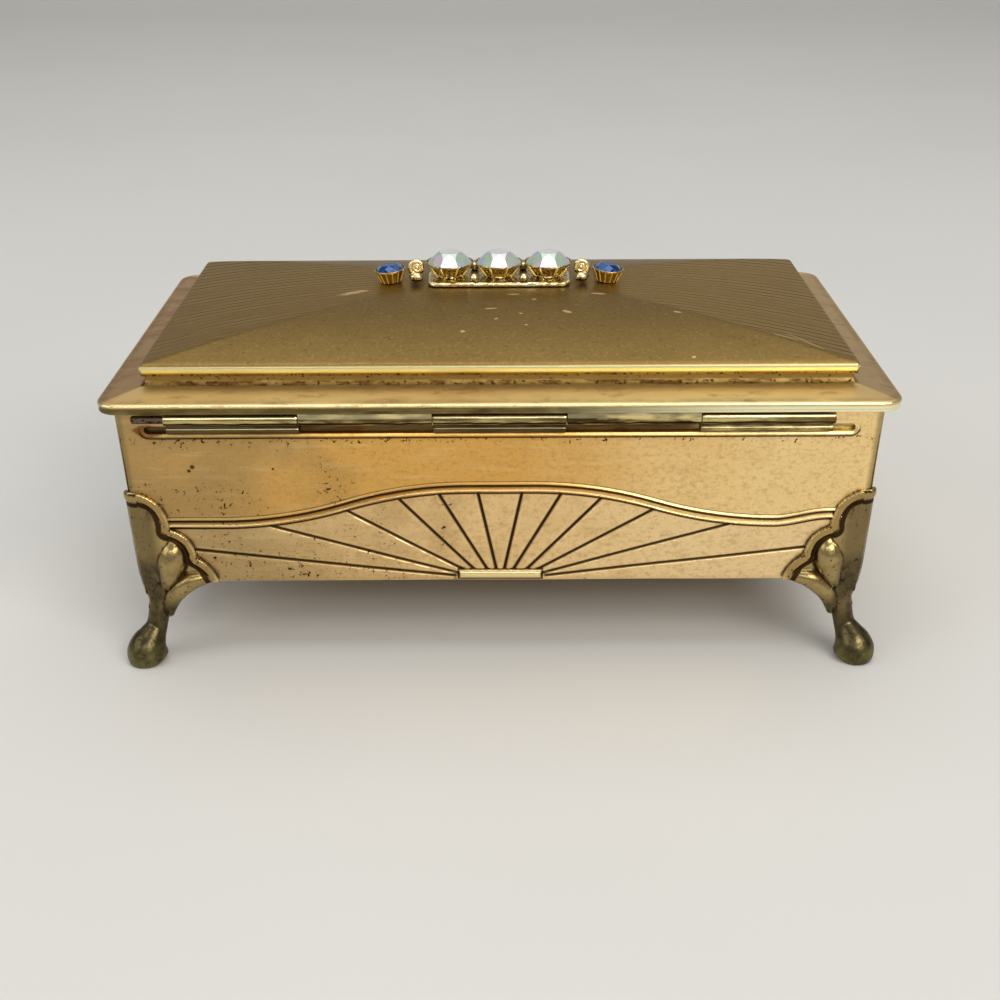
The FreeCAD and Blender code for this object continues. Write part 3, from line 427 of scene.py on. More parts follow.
# Stains of the long walls and spots of the back wall: (X, height above the table, half width).
# Rust lies at one end of the slot, and specks lie under it.
STAINS = ((-46.5, 31.5, 6.0), (-40.0, 20.0, 9.0), (-30.0, 17.5, 7.0), (-52.0, 41.0, 5.0))
SPOTS = ((-50.1, 36.3, 0.5), (-50.7, 35.6, 0.4), (-37.0, 35.9, 0.25))
RUST_PLACE = (-56.6, 42.7)
RUST_HALF = (2.6, 1.2)
SPECK_LEVEL = 40.9


def wall_finish():
    """Satin brass specked with corrosion: pale gold to the right, orange in the middle, khaki to the left;
    painted highlights on the pressed edges and painted shade on the bent corners.
    """
    finish = Finish("wall_brass", (248, 214, 150), 0.34)
    x = finish.along("X")
    z = finish.along("Z")
    drift = x + (finish.clouds(34, 2.0) - 0.5) * 60
    finish.lay(drift.rise(46, 0) * 0.95, (224, 170, 90), 0.32)
    finish.lay(drift.rise(-22, -60) * 0.9, (176, 148, 100), 0.4)
    finish.lay(finish.mark("burst") * 0.65, (246, 216, 164), 0.38)
    finish.lay(finish.mark("burst") * drift.rise(-10, -50) * 0.6, (166, 142, 98), 0.42)
    finish.lay(finish.clouds(7, 4.0).rise(0.5, 0.8) * 0.35, (198, 152, 88), 0.4)
    finish.lay(finish.clouds(0.7, 4.0, (0.6, 0.6, 1), 3.0).rise(0.46, 0.72) * 0.35, (176, 138, 84), 0.44)
    finish.lay(finish.clouds(0.45, 3.0, shift=8.0, sharp=0.7).rise(0.52, 0.68) * 0.25, (146, 112, 64), 0.5)
    brushed = finish.clouds(1.4, 2.0, (0.12, 0.12, 1.0))
    finish.lay(brushed.rise(0.5, 0.75) * 0.2, (250, 222, 160), 0.28)
    foxed = finish.clouds(11, 3.0, shift=4.0)
    stained = (foxed + (x + 6) * -0.0045 + (z - 29) * -0.008).rise(0.48, 0.72)
    for at_x, at_z, half in STAINS:
        near = oval(x - at_x, z - at_z, half, half * 0.6).rise(1.2, 0.2)
        stained = stained.at_least(near * (0.5 + foxed))
    finish.lay(stained * 0.3, (160, 132, 82), 0.5)
    finish.lay(finish.pits(1.1, 0.135, stained), (64, 46, 22), 0.7)
    finish.lay(finish.pits(0.6, 0.125, stained, 7.0), (78, 58, 30), 0.7)
    back = finish.along("Y").rise(-20, -29)
    for at_x, at_z, half in SPOTS:
        spot = (oval(x - at_x, z - at_z, 1.0, 1.0) ** 0.5 + (foxed - 0.5) * 0.4).rise(half, half * 0.5)
        finish.lay(spot * back * 0.85, (60, 42, 22), 0.7)
    rust = oval(x - RUST_PLACE[0], z - RUST_PLACE[1], *RUST_HALF) + (finish.clouds(1.2, 3.0) - 0.5) * 1.6
    finish.lay(rust.rise(1.0, 0.5) * back * 0.8, (120, 70, 34), 0.6)
    under_slot = (z - SPECK_LEVEL).rise(-1.4, 0.0) * (z - SPECK_LEVEL).rise(1.2, 0.4) * back
    finish.lay(finish.pits(0.7, 0.16, under_slot, 3.0), (60, 42, 20), 0.7)
    # Painted shade on the bent corners.
    finish.lay(finish.mark("corner") * 0.55, (120, 108, 70), 0.4)
    finish.lay(finish.mark("hollow").rise(0.05, 0.75) * 0.95, (50, 34, 15), 0.65)
    # Painted highlights where the edge mark is high.
    finish.lay(finish.mark("edge").rise(0.35, 0.95) * 0.75, (255, 232, 170), 0.2)
    finish.emboss(finish.clouds(0.35, 3.0), 0.004)
    finish.emboss(finish.clouds(5.0, 2.0), 0.02)
    return finish.done()


def pressed_wall(name, angle, along, burst, material, slot=False):
    """A wall, pressed flat, bent round its corners and turned to its side of the casket."""
    out = 1 - along
    straight = [half[along] - WALL_CORNER for half in (wall_low_half, wall_top_half)]
    lines = wall_lines(straight[0], straight[1], burst, slot)
    spread = np.arange(-straight[0] + 0.7, straight[0], 1.3)
    levels = np.arange(0.9, wall_height - 0.3, 1.3)
    grid = np.stack(np.meshgrid(spread, levels), 2).reshape(-1, 2)
    points = [tuple(p) for line in lines for p in line]
    edges = []
    first = 0
    for line in lines:
        edges += [(first + i, first + i + 1) for i in range(len(line) - 1)]
        first += len(line)
    points += [tuple(p) for p in grid]
    flat, _, triangles, *_ = delaunay_2d_cdt([Vector(p) for p in points], edges, [], 0, MESH_NEAR)
    flat = np.array([tuple(p) for p in flat])
    triangles = np.array(triangles)
    if slot:
        middle = flat[triangles].mean(1)
        triangles = triangles[slot_distance(middle[:, 0], middle[:, 1]) > 0]
    used = np.unique(triangles)
    renumber = np.full(len(flat), -1)
    renumber[used] = np.arange(len(used))
    flat = flat[used]
    triangles = renumber[triangles]
    relief, hollow, edge = press(flat[:, 0], flat[:, 1], burst, slot)
    wave = np.array([noise.noise(Vector((s * 0.06, h * 0.09, angle))) for s, h in flat]) * 0.12

    def on_wall(depth):
        """Places of the flat points, raised by depth, on the bent and turned wall."""
        s, h = flat.T
        straight_here = straight[0] + wall_lean * h
        bend = np.maximum(np.abs(s) - straight_here, 0) / WALL_CORNER
        radius = WALL_CORNER + depth
        x = np.sign(s) * (np.minimum(np.abs(s), straight_here) + radius * np.sin(bend))
        y = -(wall_low_half[out] + wall_lean * h - WALL_CORNER + radius * np.cos(bend))
        turn = math.radians(angle)
        return np.stack((x * math.cos(turn) - y * math.sin(turn), x * math.sin(turn) + y * math.cos(turn),
                         wall_foot + h), 1)

    calm = ramp(np.abs(flat[:, 0]), straight[0], straight[0] - 6)
    outer = on_wall(relief + wave * calm - 0.06)
    inner = on_wall(np.full(len(flat), -WALL_SHEET))
    count = len(flat)
    sides = np.concatenate([triangles[:, [0, 1]], triangles[:, [1, 2]], triangles[:, [2, 0]]])
    open_sides = set(map(tuple, sides.tolist()))
    rim = [(b, a, a + count, b + count) for a, b in open_sides if (b, a) not in open_sides]
    faces = triangles.tolist() + (triangles[:, ::-1] + count).tolist() + rim
    quiet = np.zeros(count)
    # Corner mark, for painted shade where the wall bends round its corner.
    bent = ramp(np.abs(flat[:, 0]) - straight[0] - wall_lean * flat[:, 1], 0, 0.7)
    under = ramp(flat[:, 1] - moulding_line(flat[:, 0], burst), -0.9, -1.3)
    marks = {mark: np.concatenate((values, quiet))
             for mark, values in (("hollow", hollow), ("edge", edge), ("corner", bent), ("burst", under))}
    piece = mesh_piece("pressed_" + name, np.concatenate((outer, inner)), faces, material, marks)
    dress(piece, "casket_base", name)


wall_brass = wall_finish()
pressed_wall("wall_back", 0, 0, LONG_BURST, wall_brass, slot=True)
pressed_wall("wall_right", 90, 1, SHORT_BURST, wall_brass)
pressed_wall("wall_front", 180, 0, LONG_BURST, wall_brass)
pressed_wall("wall_left", 270, 1, SHORT_BURST, wall_brass)

# Base plate
# A flat sheet of the same brass, let in at the lower edge of the walls and soft-soldered all round; dull and
# scuffed underneath, with grey solder along its edges.


def base_finish():
    """Dull brass, scuffed along its length, with smears of grey solder by the walls."""
    finish = Finish("base_brass", (178, 146, 88), 0.42)
    x, y = finish.along("X"), finish.along("Y")
    finish.lay(finish.clouds(16, 4.0).rise(0.4, 0.75) * 0.6, (138, 108, 62), 0.5)
    finish.lay(finish.clouds(2.0, 4.0, (0.12, 1, 1), 5.0).rise(0.55, 0.7) * 0.4, (206, 176, 112), 0.34)
    by_ends, by_sides = ((abs(at) - half).rise(-3.2, -1.2) for at, half in zip((x, y), wall_low_half))
    seam = by_ends.at_least(by_sides)
    finish.lay(seam * finish.clouds(1.6, 3.0).rise(0.35, 0.55) * 0.85, (142, 136, 126), 0.55)
    finish.lay(finish.pits(0.8, 0.14, 1.0, 3.0), (70, 48, 24), 0.7)
    finish.emboss(finish.clouds(0.4, 3.0), 0.006)
    finish.emboss(seam * finish.clouds(1.2, 3.0), 0.12)
    return finish.done()


base_plate = bpy.data.objects["base_plate"]
base_plate.data.materials.clear()
base_plate.data.materials.append(base_finish())

# Feet
# Four brass castings, soldered over the lower corners: a slim cabriole leg on a club foot, spreading above
# into a leaf with a scalloped border, two swelling petals on either wall and a rib up the corner.

FOOT_GAP = 0.03
# The leg and the leaf on the long wall are measured from a line this far in from the corner of the walls.
FOOT_INSET = 1.25
# Stations of the leg: height, out from the corner both ways, radius.
LEG = ((0.0, 1.2, 2.6), (0.4, 1.25, 3.05), (1.1, 1.3, 3.4), (2.0, 1.2, 3.5), (2.9, 1.0, 3.25),
       (3.7, 0.7, 2.9), (4.7, 0.2, 2.35), (5.8, -0.35, 1.9), (7.0, -0.7, 1.78), (8.8, -1.1, 1.9),
       (10.4, -1.6, 2.3), (12.3, -2.2, 2.8), (14.2, -2.8, 3.4), (17.0, -3.0, 4.0))
TOE_OUT = 1.7
TOE_HEIGHT = 1.25
TOE_HALF = (2.8, 2.9, 1.2)
RIB_PLACE = (3.2, 2.4, 7.6)
RIB_HALF = (3.8, 3.8, 10.0)
# The mantle lies round the corner of the walls under the leaf: heights above the lower edge, radii.
MANTLE_RISE = (-5.0, 16.3)
MANTLE_RADII = ((-5, -1, 2), (1.2, 2.05, WALL_CORNER + 0.55))
# The leaf on one wall is measured along the wall from the corner and up from the lower edge.
SCALLOPS = ((-0.1, 17.2), (5.2, 10.2), (8.95, 4.8), (12.2, 0.3))
SCALLOP_BULGE = (1.8, 1.2, 0.55)
LEAF_CREST = 16.7
LEAF_LOWER = ((10.0, -0.2), (6.8, -1.5), (3.6, -3.6), (-0.5, -5.0))
WEB_OUT = (0.12, -0.5)
BORDER_WIDTH = 1.3
# The border is three strands, so far inside the scalloped edge.
STRANDS = (0.36, 0.62, 0.88)
STRAND_RADIUS = 0.44
STRAND_OUT = 0.32
GROOVE_WIDTH = 1.3
# Bands of painted shade inside the scalloped edge, (place, half width, amount): a groove beside the border,
# and a painted shadow line along the edge, where the foot meets the wall.
FOOT_GROOVES = ((BORDER_WIDTH + GROOVE_WIDTH / 2 - 0.1, GROOVE_WIDTH / 2, 0.8), (0.0, 0.3, 0.7))
# Stations of the petals, from the leaf down into the leg: along, up, radius, how far they stand out.
PETALS = (((5.2, 8.0, 0.8, 0.4), (5.1, 7.0, 1.7, 1.2), (4.8, 5.2, 2.4, 2.0), (4.4, 3.4, 2.45, 2.2),
           (3.9, 1.6, 1.95, 1.9), (3.3, 0.0, 1.3, 1.4), (2.9, -1.2, 0.7, 0.9)),
          ((11.2, 0.5, 0.5, 0.4), (9.6, 0.6, 1.2, 1.0), (7.6, 0.3, 1.6, 1.6), (5.8, -0.9, 1.65, 1.7),
           (4.2, -2.6, 1.5, 1.5), (3.2, -4.6, 1.2, 1.1), (2.6, -6.6, 0.8, 0.6)))
FOOT_GRAIN = 0.2
TUBE_DOME = 0.3


def ring_faces(count, size, closed=False):
    """Faces between rings of size points that follow one another; closed joins the last to the first."""
    faces = []
    for i in range(count if closed else count - 1):
        this, above = i * size, (i + 1) % count * size
        for j in range(size):
            k = (j + 1) % size
            faces.append((this + j, this + k, above + k, above + j))
    return faces


def capped(rings, start, end):
    """Closed form through equal rings, drawn to a point at its start and at its end."""
    size = len(rings[0])
    faces = ring_faces(len(rings), size)
    first, last = len(rings) * size, (len(rings) - 1) * size
    for j in range(size):
        k = (j + 1) % size
        faces.append((first, k, j))
        faces.append((first + 1, last + j, last + k))
    return np.concatenate(list(rings) + [[start], [end]]), faces


def headings(path):
    """Unit vectors along a path, one for each of its points."""
    way = np.gradient(path, axis=0)
    return way / np.linalg.norm(way, axis=1)[:, None]


def full_turn(count):
    """Angles all round, evenly spaced."""
    return np.linspace(0, 2 * math.pi, count, endpoint=False)


def tube(path, radii, sides=20):
    """Closed round tube along a path, thick or thin as radii say, with domed ends."""
    path = np.asarray(path, float)
    radii = np.broadcast_to(np.asarray(radii, float), len(path))
    way = headings(path)
    no_heading = (0.31, 0.52, 0.79)
    side = np.cross(way[0], no_heading)
    turn = full_turn(sides)
    rings = []
    for at, forward, radius in zip(path, way, radii):
        side = side - forward * (side @ forward)
        side /= np.linalg.norm(side)
        up = np.cross(forward, side)
        rings.append(at + radius * (np.cos(turn)[:, None] * side + np.sin(turn)[:, None] * up))
    start = path[0] - way[0] * radii[0] * TUBE_DOME
    return capped(rings, start, path[-1] + way[-1] * radii[-1] * TUBE_DOME)


def lathe(profile, sides=48):
    """Turned form from (radius, height) points that start and end on the axis."""
    turn = full_turn(sides)
    rings = [np.stack((radius * np.cos(turn), radius * np.sin(turn), np.full(sides, height)), 1)
             for radius, height in profile[1:-1]]
    return capped(rings, (0, 0, profile[0][1]), (0, 0, profile[-1][1]))


def ball(centre, radii, axes=np.eye(3), rings=14, sides=24):
    """Ellipsoid on three axes, which are the rows of axes."""
    lift = np.linspace(math.pi, 0, rings + 1)
    unit, faces = lathe(np.stack((np.sin(lift), np.cos(lift)), 1), sides)
    return np.asarray(centre) + (unit * radii) @ np.asarray(axes), faces


def joined(parts):
    """Several sets of points and faces as one."""
    points, faces = [], []
    count = 0
    for part_points, part_faces in parts:
        points.append(part_points)
        faces += [tuple(i + count for i in face) for face in part_faces]
        count += len(part_points)
    return np.concatenate(points), faces


def smooth_line(stops, steps):
    """Smooth curve through a few stops."""
    stops = np.asarray(stops, float)
    ends = np.concatenate((2 * stops[:1] - stops[1:2], stops, 2 * stops[-1:] - stops[-2:-1]))
    line = []
    for i in range(1, len(ends) - 2):
        for t in np.linspace(0, 1, steps, endpoint=False):
            a, b, c, d = ends[i - 1:i + 3]
            line.append(0.5 * (2 * b + (c - a) * t + (2 * a - 5 * b + 4 * c - d) * t ** 2
                               + (3 * b - a - 3 * c + d) * t ** 3))
    return np.array(line + [ends[-2]])


def scallop_line():
    """Outer edge of the leaf on one wall, as (along, up) points: three bulging arcs."""
    line = []
    for start, end, bulge in zip(SCALLOPS, SCALLOPS[1:], SCALLOP_BULGE):
        start, end = np.array(start), np.array(end)
        run = end - start
        across = np.array((-run[1], run[0])) / np.linalg.norm(run)
        for t in np.linspace(0, 1, 14):
            line.append(start + run * t + across * bulge * math.sin(math.pi * t) ** 0.8)
    return np.array(line)


def leaf_points(flat, out, tuck=0.0):
    """Places on the back wall by the left corner of points along the wall and up it, so far out of it."""
    along, up = np.asarray(flat, float).T
    corner_x = -(wall_low_half[0] + wall_lean * up)
    face_y = -(wall_low_half[1] + wall_lean * up)
    return np.stack((corner_x + along, face_y - out + tuck * ramp(up, 1.5, -3.0), wall_foot + up), 1)


def leaf_half(inset, swell, tuck):
    """Border, web and petals of the leaf on the back wall, set in from the corner and tucked in below it."""
    border = scallop_line() + (inset, 0)
    border = border[border[:, 0] > WALL_CORNER]
    way = headings(border)
    inward = np.stack((way[:, 1], -way[:, 0]), 1)
    parts = [tube(leaf_points(border + inward * depth, STRAND_OUT), STRAND_RADIUS, 14) for depth in STRANDS]
    lower = np.array(LEAF_LOWER) + (inset, 0)
    outline = np.concatenate((border, lower, ((0.3, -5.0), (0.3, border[0, 1]))))
    count = len(outline)
    web = np.concatenate([leaf_points(outline, out, tuck) for out in WEB_OUT])
    sides = [(i, (i + 1) % count) for i in range(count)]
    triangles = delaunay_2d_cdt([Vector(p) for p in outline], sides, [], 1, MESH_NEAR)[2]
    web_faces = [tuple(face[::-1]) for face in triangles]
    web_faces += [tuple(i + count for i in face) for face in triangles]
    web_faces += [(i, j, j + count, i + count) for i, j in sides]
    parts.append((web, web_faces))
    for petal in PETALS:
        along, up, radius, proud = smooth_line(petal, 6).T
        path = leaf_points(np.stack((along + inset, up), 1), proud * swell - radius, tuck)
        parts.append(tube(path, radius, 24))
    return parts


def across_corner(part):
    """The same form on the other wall of the corner."""
    points, faces = part
    shift = wall_low_half - wall_low_half[::-1]
    swapped = points[:, [1, 0, 2]] - np.append(shift, 0)
    return swapped, [tuple(face[::-1]) for face in faces]


def rounded_ring(half, radius, z, steps=7):
    """Rounded rectangle of points, anticlockwise from above."""
    ring = []
    for sx, sy, start in ((1, 1, 0), (-1, 1, 90), (-1, -1, 180), (1, -1, 270)):
        for turn in np.radians(np.linspace(start, start + 90, steps)):
            ring.append((sx * (half[0] - radius) + radius * math.cos(turn),
                         sy * (half[1] - radius) + radius * math.sin(turn), z))
    return np.array(ring)


def stacked(rings):
    """Closed form through equal rings, one above the other."""
    size = len(rings[0])
    ends = [tuple(range(size))[::-1], tuple(range(size * (len(rings) - 1), size * len(rings)))]
    return np.concatenate(rings), ends + ring_faces(len(rings), size)


def plain_object(name, part):
    """Bare object, to work on."""
    mesh = bpy.data.meshes.new(name)
    mesh.from_pydata(np.asarray(part[0]).tolist(), [], part[1])
    return linked(name, mesh)


def reskinned(thing, grain):
    """Gives an object one closed skin of even faces."""
    skin = thing.modifiers.new("skin", "REMESH")
    skin.mode = "VOXEL"
    skin.voxel_size = grain


def worked_mesh(thing):
    """Mesh of an object with its modifiers carried out; the object goes."""
    bpy.context.view_layer.update()
    graph = bpy.context.evaluated_depsgraph_get()
    mesh = bpy.data.meshes.new_from_object(thing.evaluated_get(graph))
    bpy.data.objects.remove(thing)
    return mesh


def mesh_points(mesh):
    """Places of the points of a mesh, one to a row."""
    points = np.zeros(len(mesh.vertices) * 3)
    mesh.vertices.foreach_get("co", points)
    return points.reshape(-1, 3)


def finished_mesh(thing):
    """Points and faces of an object with its modifiers carried out; the object goes."""
    mesh = worked_mesh(thing)
    return mesh_points(mesh), [tuple(polygon.vertices) for polygon in mesh.polygons]


def foot_shape():
    """Back left foot: all its forms melted into one skin, cut to fit the corner of the walls."""
    corner = -wall_low_half + (FOOT_INSET, 0)
    stations = np.array([(corner[0] - out, corner[1] - out, z) for z, out, _ in LEG])
    thickness = np.array([(r, 0, 0) for _, _, r in LEG])
    leg = tube(smooth_line(stations, 6), smooth_line(thickness, 6)[:, 0], 28)
    root = math.sqrt(0.5)
    diagonal = ((root, -root, 0), (-root, -root, 0), (0, 0, 1))
    toe = ball((corner[0] - TOE_OUT, corner[1] - TOE_OUT, TOE_HEIGHT), TOE_HALF, diagonal)
    lower_corner = np.append(-wall_low_half, wall_foot)
    rib = ball(lower_corner + RIB_PLACE, RIB_HALF)
    seat = wall_low_half + wall_lean * LEAF_CREST - WALL_CORNER
    turn = np.radians(np.linspace(180, 270, 9))
    reach = WALL_CORNER + STRAND_OUT
    round_corner = np.stack((reach * np.cos(turn) - seat[0], reach * np.sin(turn) - seat[1],
                             np.full(len(turn), wall_foot + LEAF_CREST)), 1)
    bends_round = [tube(round_corner - (0, 0, depth), STRAND_RADIUS, 14) for depth in STRANDS]
    rise = np.linspace(*MANTLE_RISE, 20)
    run = WALL_CORNER - wall_lean * rise
    mantle = tube(lower_corner + np.stack((run, run, rise), 1), np.interp(rise, *MANTLE_RADII), 28)
    long_half = leaf_half(FOOT_INSET, 1.0, 0.0)
    short_half = [across_corner(part) for part in leaf_half(0.0, 0.5, FOOT_INSET)]
    skin = plain_object("foot_skin", joined([leg, toe, rib, mantle] + bends_round + long_half + short_half))
    reskinned(skin, FOOT_GRAIN)
    ease = skin.modifiers.new("ease", "SMOOTH")
    ease.factor = 0.5
    ease.iterations = 3
    walls = [rounded_ring(wall_low_half + wall_lean * (z - wall_foot) + FOOT_GAP, WALL_CORNER + FOOT_GAP, z)
             for z in (wall_foot - FOOT_GAP, wall_foot + wall_height)]
    table = [rounded_ring((90, 60), 1, z) for z in (-9, 0)]
    cutters = []
    for rings in (walls, table):
        cutters.append(plain_object("foot_cutter", stacked(rings)))
        trim = skin.modifiers.new("trim", "BOOLEAN")
        trim.operation = "DIFFERENCE"
        trim.solver = "EXACT"
        trim.object = cutters[-1]
    foot = finished_mesh(skin)
    for cutter in cutters:
        bpy.data.objects.remove(cutter)
    return foot


def bends(points, faces, rounds=3):
    """How hollow and how exposed each point is, from 0 to 1, by the bend of the surface about it."""
    mesh = bpy.data.meshes.new("bends")
    mesh.from_pydata(points.tolist(), [], faces)
    normals = np.zeros(len(points) * 3)
    mesh.vertices.foreach_get("normal", normals)
    normals = normals.reshape(-1, 3)
    edges = np.zeros(len(mesh.edges) * 2, int)
    mesh.edges.foreach_get("vertices", edges)
    a, b = edges.reshape(-1, 2).T
    bpy.data.meshes.remove(mesh)
    count = np.zeros(len(points))
    np.add.at(count, a, 1)
    np.add.at(count, b, 1)
    count = np.maximum(count, 1)

    def around(values):
        """Mean of the values of each point's neighbours."""
        total = np.zeros_like(values)
        np.add.at(total, a, values[b])
        np.add.at(total, b, values[a])
        return total / (count if values.ndim == 1 else count[:, None])

    step = np.linalg.norm(points[a] - points[b], axis=1).mean()
    bend = ((around(points) - points) * normals).sum(1) / step ** 2
    for _ in range(rounds):
        bend = 0.5 * bend + 0.5 * around(bend)
    return np.clip(bend, 0, 1), np.clip(-bend, 0, 1)


def border_depth(points):
    """How far inside the scalloped edge each point of the back left foot lies, and how much it is leaf."""
    off_border = 9.0
    up = points[:, 2] - wall_foot
    inside = wall_low_half + wall_lean * up[:, None] + points[:, :2]
    along = (inside - (FOOT_INSET, 0)).max(1)
    line = scallop_line()
    spots = np.stack((along, up), 1)
    nearest = np.linalg.norm(spots[:, None] - line[None], axis=2).min(1)
    round_corner = np.where(inside.max(1) < WALL_CORNER, LEAF_CREST - up, off_border)
    on_wall = (up > -0.4) & (inside.min(1) < 0.3)
    depth = np.where(on_wall, np.minimum(nearest, np.abs(round_corner)), off_border)
    return depth, ramp(along, 2.2, 3.6) * ramp(up, -4.5, -2.0)


def foot_finish():
    """Cast brass gone dull and olive, brighter on the leaf, greenish at the foot, with painted shade in its
    hollows and painted highlights on its bulges.
    """
    finish = Finish("foot_brass", (92, 82, 58), 0.28)
    z = finish.along("Z")
    finish.lay(finish.clouds(1.1, 3.0, sharp=0.6).rise(0.45, 0.65) * 0.6, (64, 56, 40), 0.36)
    finish.lay(finish.clouds(3.0, 2.0, shift=5.0).rise(0.52, 0.72) * 0.5, (134, 114, 78), 0.24)
    green = z.rise(4.6, 2.0) * finish.clouds(2.2, 3.0, shift=8.0).rise(0.4, 0.6)
    finish.lay(green * 0.7, (120, 122, 72), 0.36)
    leaf = finish.mark("leaf")
    finish.lay(z.rise(17, 21) * 0.7, (140, 120, 82), 0.28)
    finish.lay(leaf * 0.9, (172, 150, 100), 0.25)
    finish.lay(leaf * finish.clouds(2.4, 3.0, shift=2.0).rise(0.45, 0.7) * 0.5, (128, 106, 66), 0.34)
    finish.lay(finish.mark("border") * 0.9, (168, 138, 86), 0.24)
    # Painted shade in the creases, in the groove by the border and along the edge against the wall.
    finish.lay(finish.mark("hollow").rise(0.1, 0.45) * 0.95, (54, 36, 22), 0.6)
    finish.lay(finish.pits(0.7, 0.13, 1.0), (58, 44, 24), 0.6)
    # Painted highlights on the bulges and ridges.
    finish.lay(finish.mark("edge").rise(0.25, 0.7) * 0.6, (236, 212, 152), 0.2)
    finish.emboss(finish.clouds(0.6, 3.0), 0.016)
    finish.emboss(finish.clouds(1.5, 2.0), 0.09)
    return finish.done()


foot_brass = foot_finish()
foot_points, foot_faces = foot_shape()
foot_hollow, foot_edge = bends(foot_points, foot_faces, 4)
foot_border, foot_leaf = border_depth(foot_points)
# Edge carries painted highlights on the bulges; hollow carries painted shade in creases and grooves.
foot_marks = {"edge": foot_edge, "leaf": foot_leaf,
              "border": ramp(foot_border, BORDER_WIDTH, BORDER_WIDTH - 0.3),
              "hollow": np.maximum(foot_hollow, banded(foot_border, FOOT_GROOVES).max(0))}
for depth_name, sign_y in (("back", 1), ("front", -1)):
    for side_name, sign_x in (("left", 1), ("right", -1)):
        foot_node = f"foot_{depth_name}_{side_name}"
        turned_faces = foot_faces if sign_x == sign_y else [face[::-1] for face in foot_faces]
        foot = mesh_piece("cast_" + foot_node, foot_points * (sign_x, sign_y, 1), turned_faces, foot_brass,
                          foot_marks)
        dress(foot, "casket_base", foot_node)

# Linings
# Wine red velvet glued over thin card, one panel inside each wall with its edges turned in. The nap has been
# stroked and pressed unevenly over the years.

LINING_SHEET = 1.2
LINING_ROUND = 0.7


def velvet_finish():
    """Short cotton nap, lighter where it was stroked the other way, darker where it is pressed."""
    finish = Finish("velvet", (112, 20, 30), 0.9, 0.0)
    stroked = finish.clouds(14, 3.0)
    finish.lay(stroked.rise(0.4, 0.7) * 0.6, (140, 34, 44), 0.85)
    finish.lay(finish.clouds(5.0, 3.0, shift=6.0).rise(0.5, 0.75) * 0.5, (82, 10, 18), 0.95)
    finish.lay(finish.clouds(0.3, 2.0, shift=2.0).rise(0.45, 0.7) * 0.5, (74, 8, 16), 1.0)
    finish.emboss(finish.clouds(0.3, 2.0), 0.06)
    finish.emboss(stroked, 0.15)
    return finish.done(Sheen_Weight=0.5, Sheen_Roughness=0.4, Sheen_Tint=tone(236, 150, 150))


def lining_panel(name, angle, material):
    """Slab that leans with its wall; the face that is seen is rounded at its edges and a little uneven."""
    low, high = box_mm(name)
    height = high[2] - low[2]
    turn = math.radians(angle)
    across = np.array((math.cos(turn), math.sin(turn)))
    outward = np.array((math.sin(turn), -math.cos(turn)))
    ends = sorted((low[:2] @ across, high[:2] @ across))
    back = max(low[:2] @ outward, high[:2] @ outward)
    lean = wall_lean * height
    columns, rows = int((ends[1] - ends[0]) / 1.5), 22
    steps = [0.5 - 0.5 * np.cos(np.linspace(0, np.pi, count)) for count in (columns, rows)]
    part_s, part_h = (grid.ravel() for grid in np.meshgrid(*steps))
    start = ends[0] + lean * (1 - part_h)
    end = ends[1] - lean * (1 - part_h)
    s = start + (end - start) * part_s
    h = height * part_h
    margin = np.minimum(np.minimum(s - start, end - s), np.minimum(h, height - h))
    curl = 1 - np.sqrt(1 - ramp(margin, LINING_ROUND, 0) ** 2)
    uneven = np.array([0.5 + 0.5 * noise.noise(Vector((a * 0.09, b * 0.12, angle))) for a, b in zip(s, h)])
    outer = back - lean * (1 - part_h)
    faces = []
    count = len(s)
    for i in range(rows - 1):
        for j in range(columns - 1):
            a = i * columns + j
            faces.append((a, a + columns, a + columns + 1, a + 1))
            faces.append((a + count, a + count + 1, a + count + columns + 1, a + count + columns))
    index = np.arange(count).reshape(rows, columns)
    border = np.concatenate((index[0], index[1:, -1], index[-1, -2::-1], index[-2:0:-1, 0])).tolist()
    for a, b in zip(border, border[1:] + border[:1]):
        faces.append((a, b, b + count, a + count))
    points = []
    for depth in (outer - LINING_SHEET + 0.8 * LINING_SHEET * curl + 0.14 * uneven, outer):
        flat = np.outer(s, across) + np.outer(depth, outward)
        points.append(np.column_stack((flat, low[2] + h)))
    piece = mesh_piece("velvet_" + name, np.concatenate(points), faces, material, sharp=60)
    dress(piece, "casket_base", name)


velvet = velvet_finish()
for side_name, angle in (("back", 0), ("right", 90), ("front", 180), ("left", 270)):
    lining_panel("lining_" + side_name, angle, velvet)

# Floor pad
# The same velvet over wadding and card, laid on the base plate between the linings, fuller in the middle.

# The cloth is worked on at a scale at which the simulation behaves, in decimetres.
CLOTH_SCALE = 0.01
CLOTH_GRID = 1.2
CLOTH_PRESSURE = 4.0
CLOTH_STEPS = 20
PAD_CORNER = 2.0


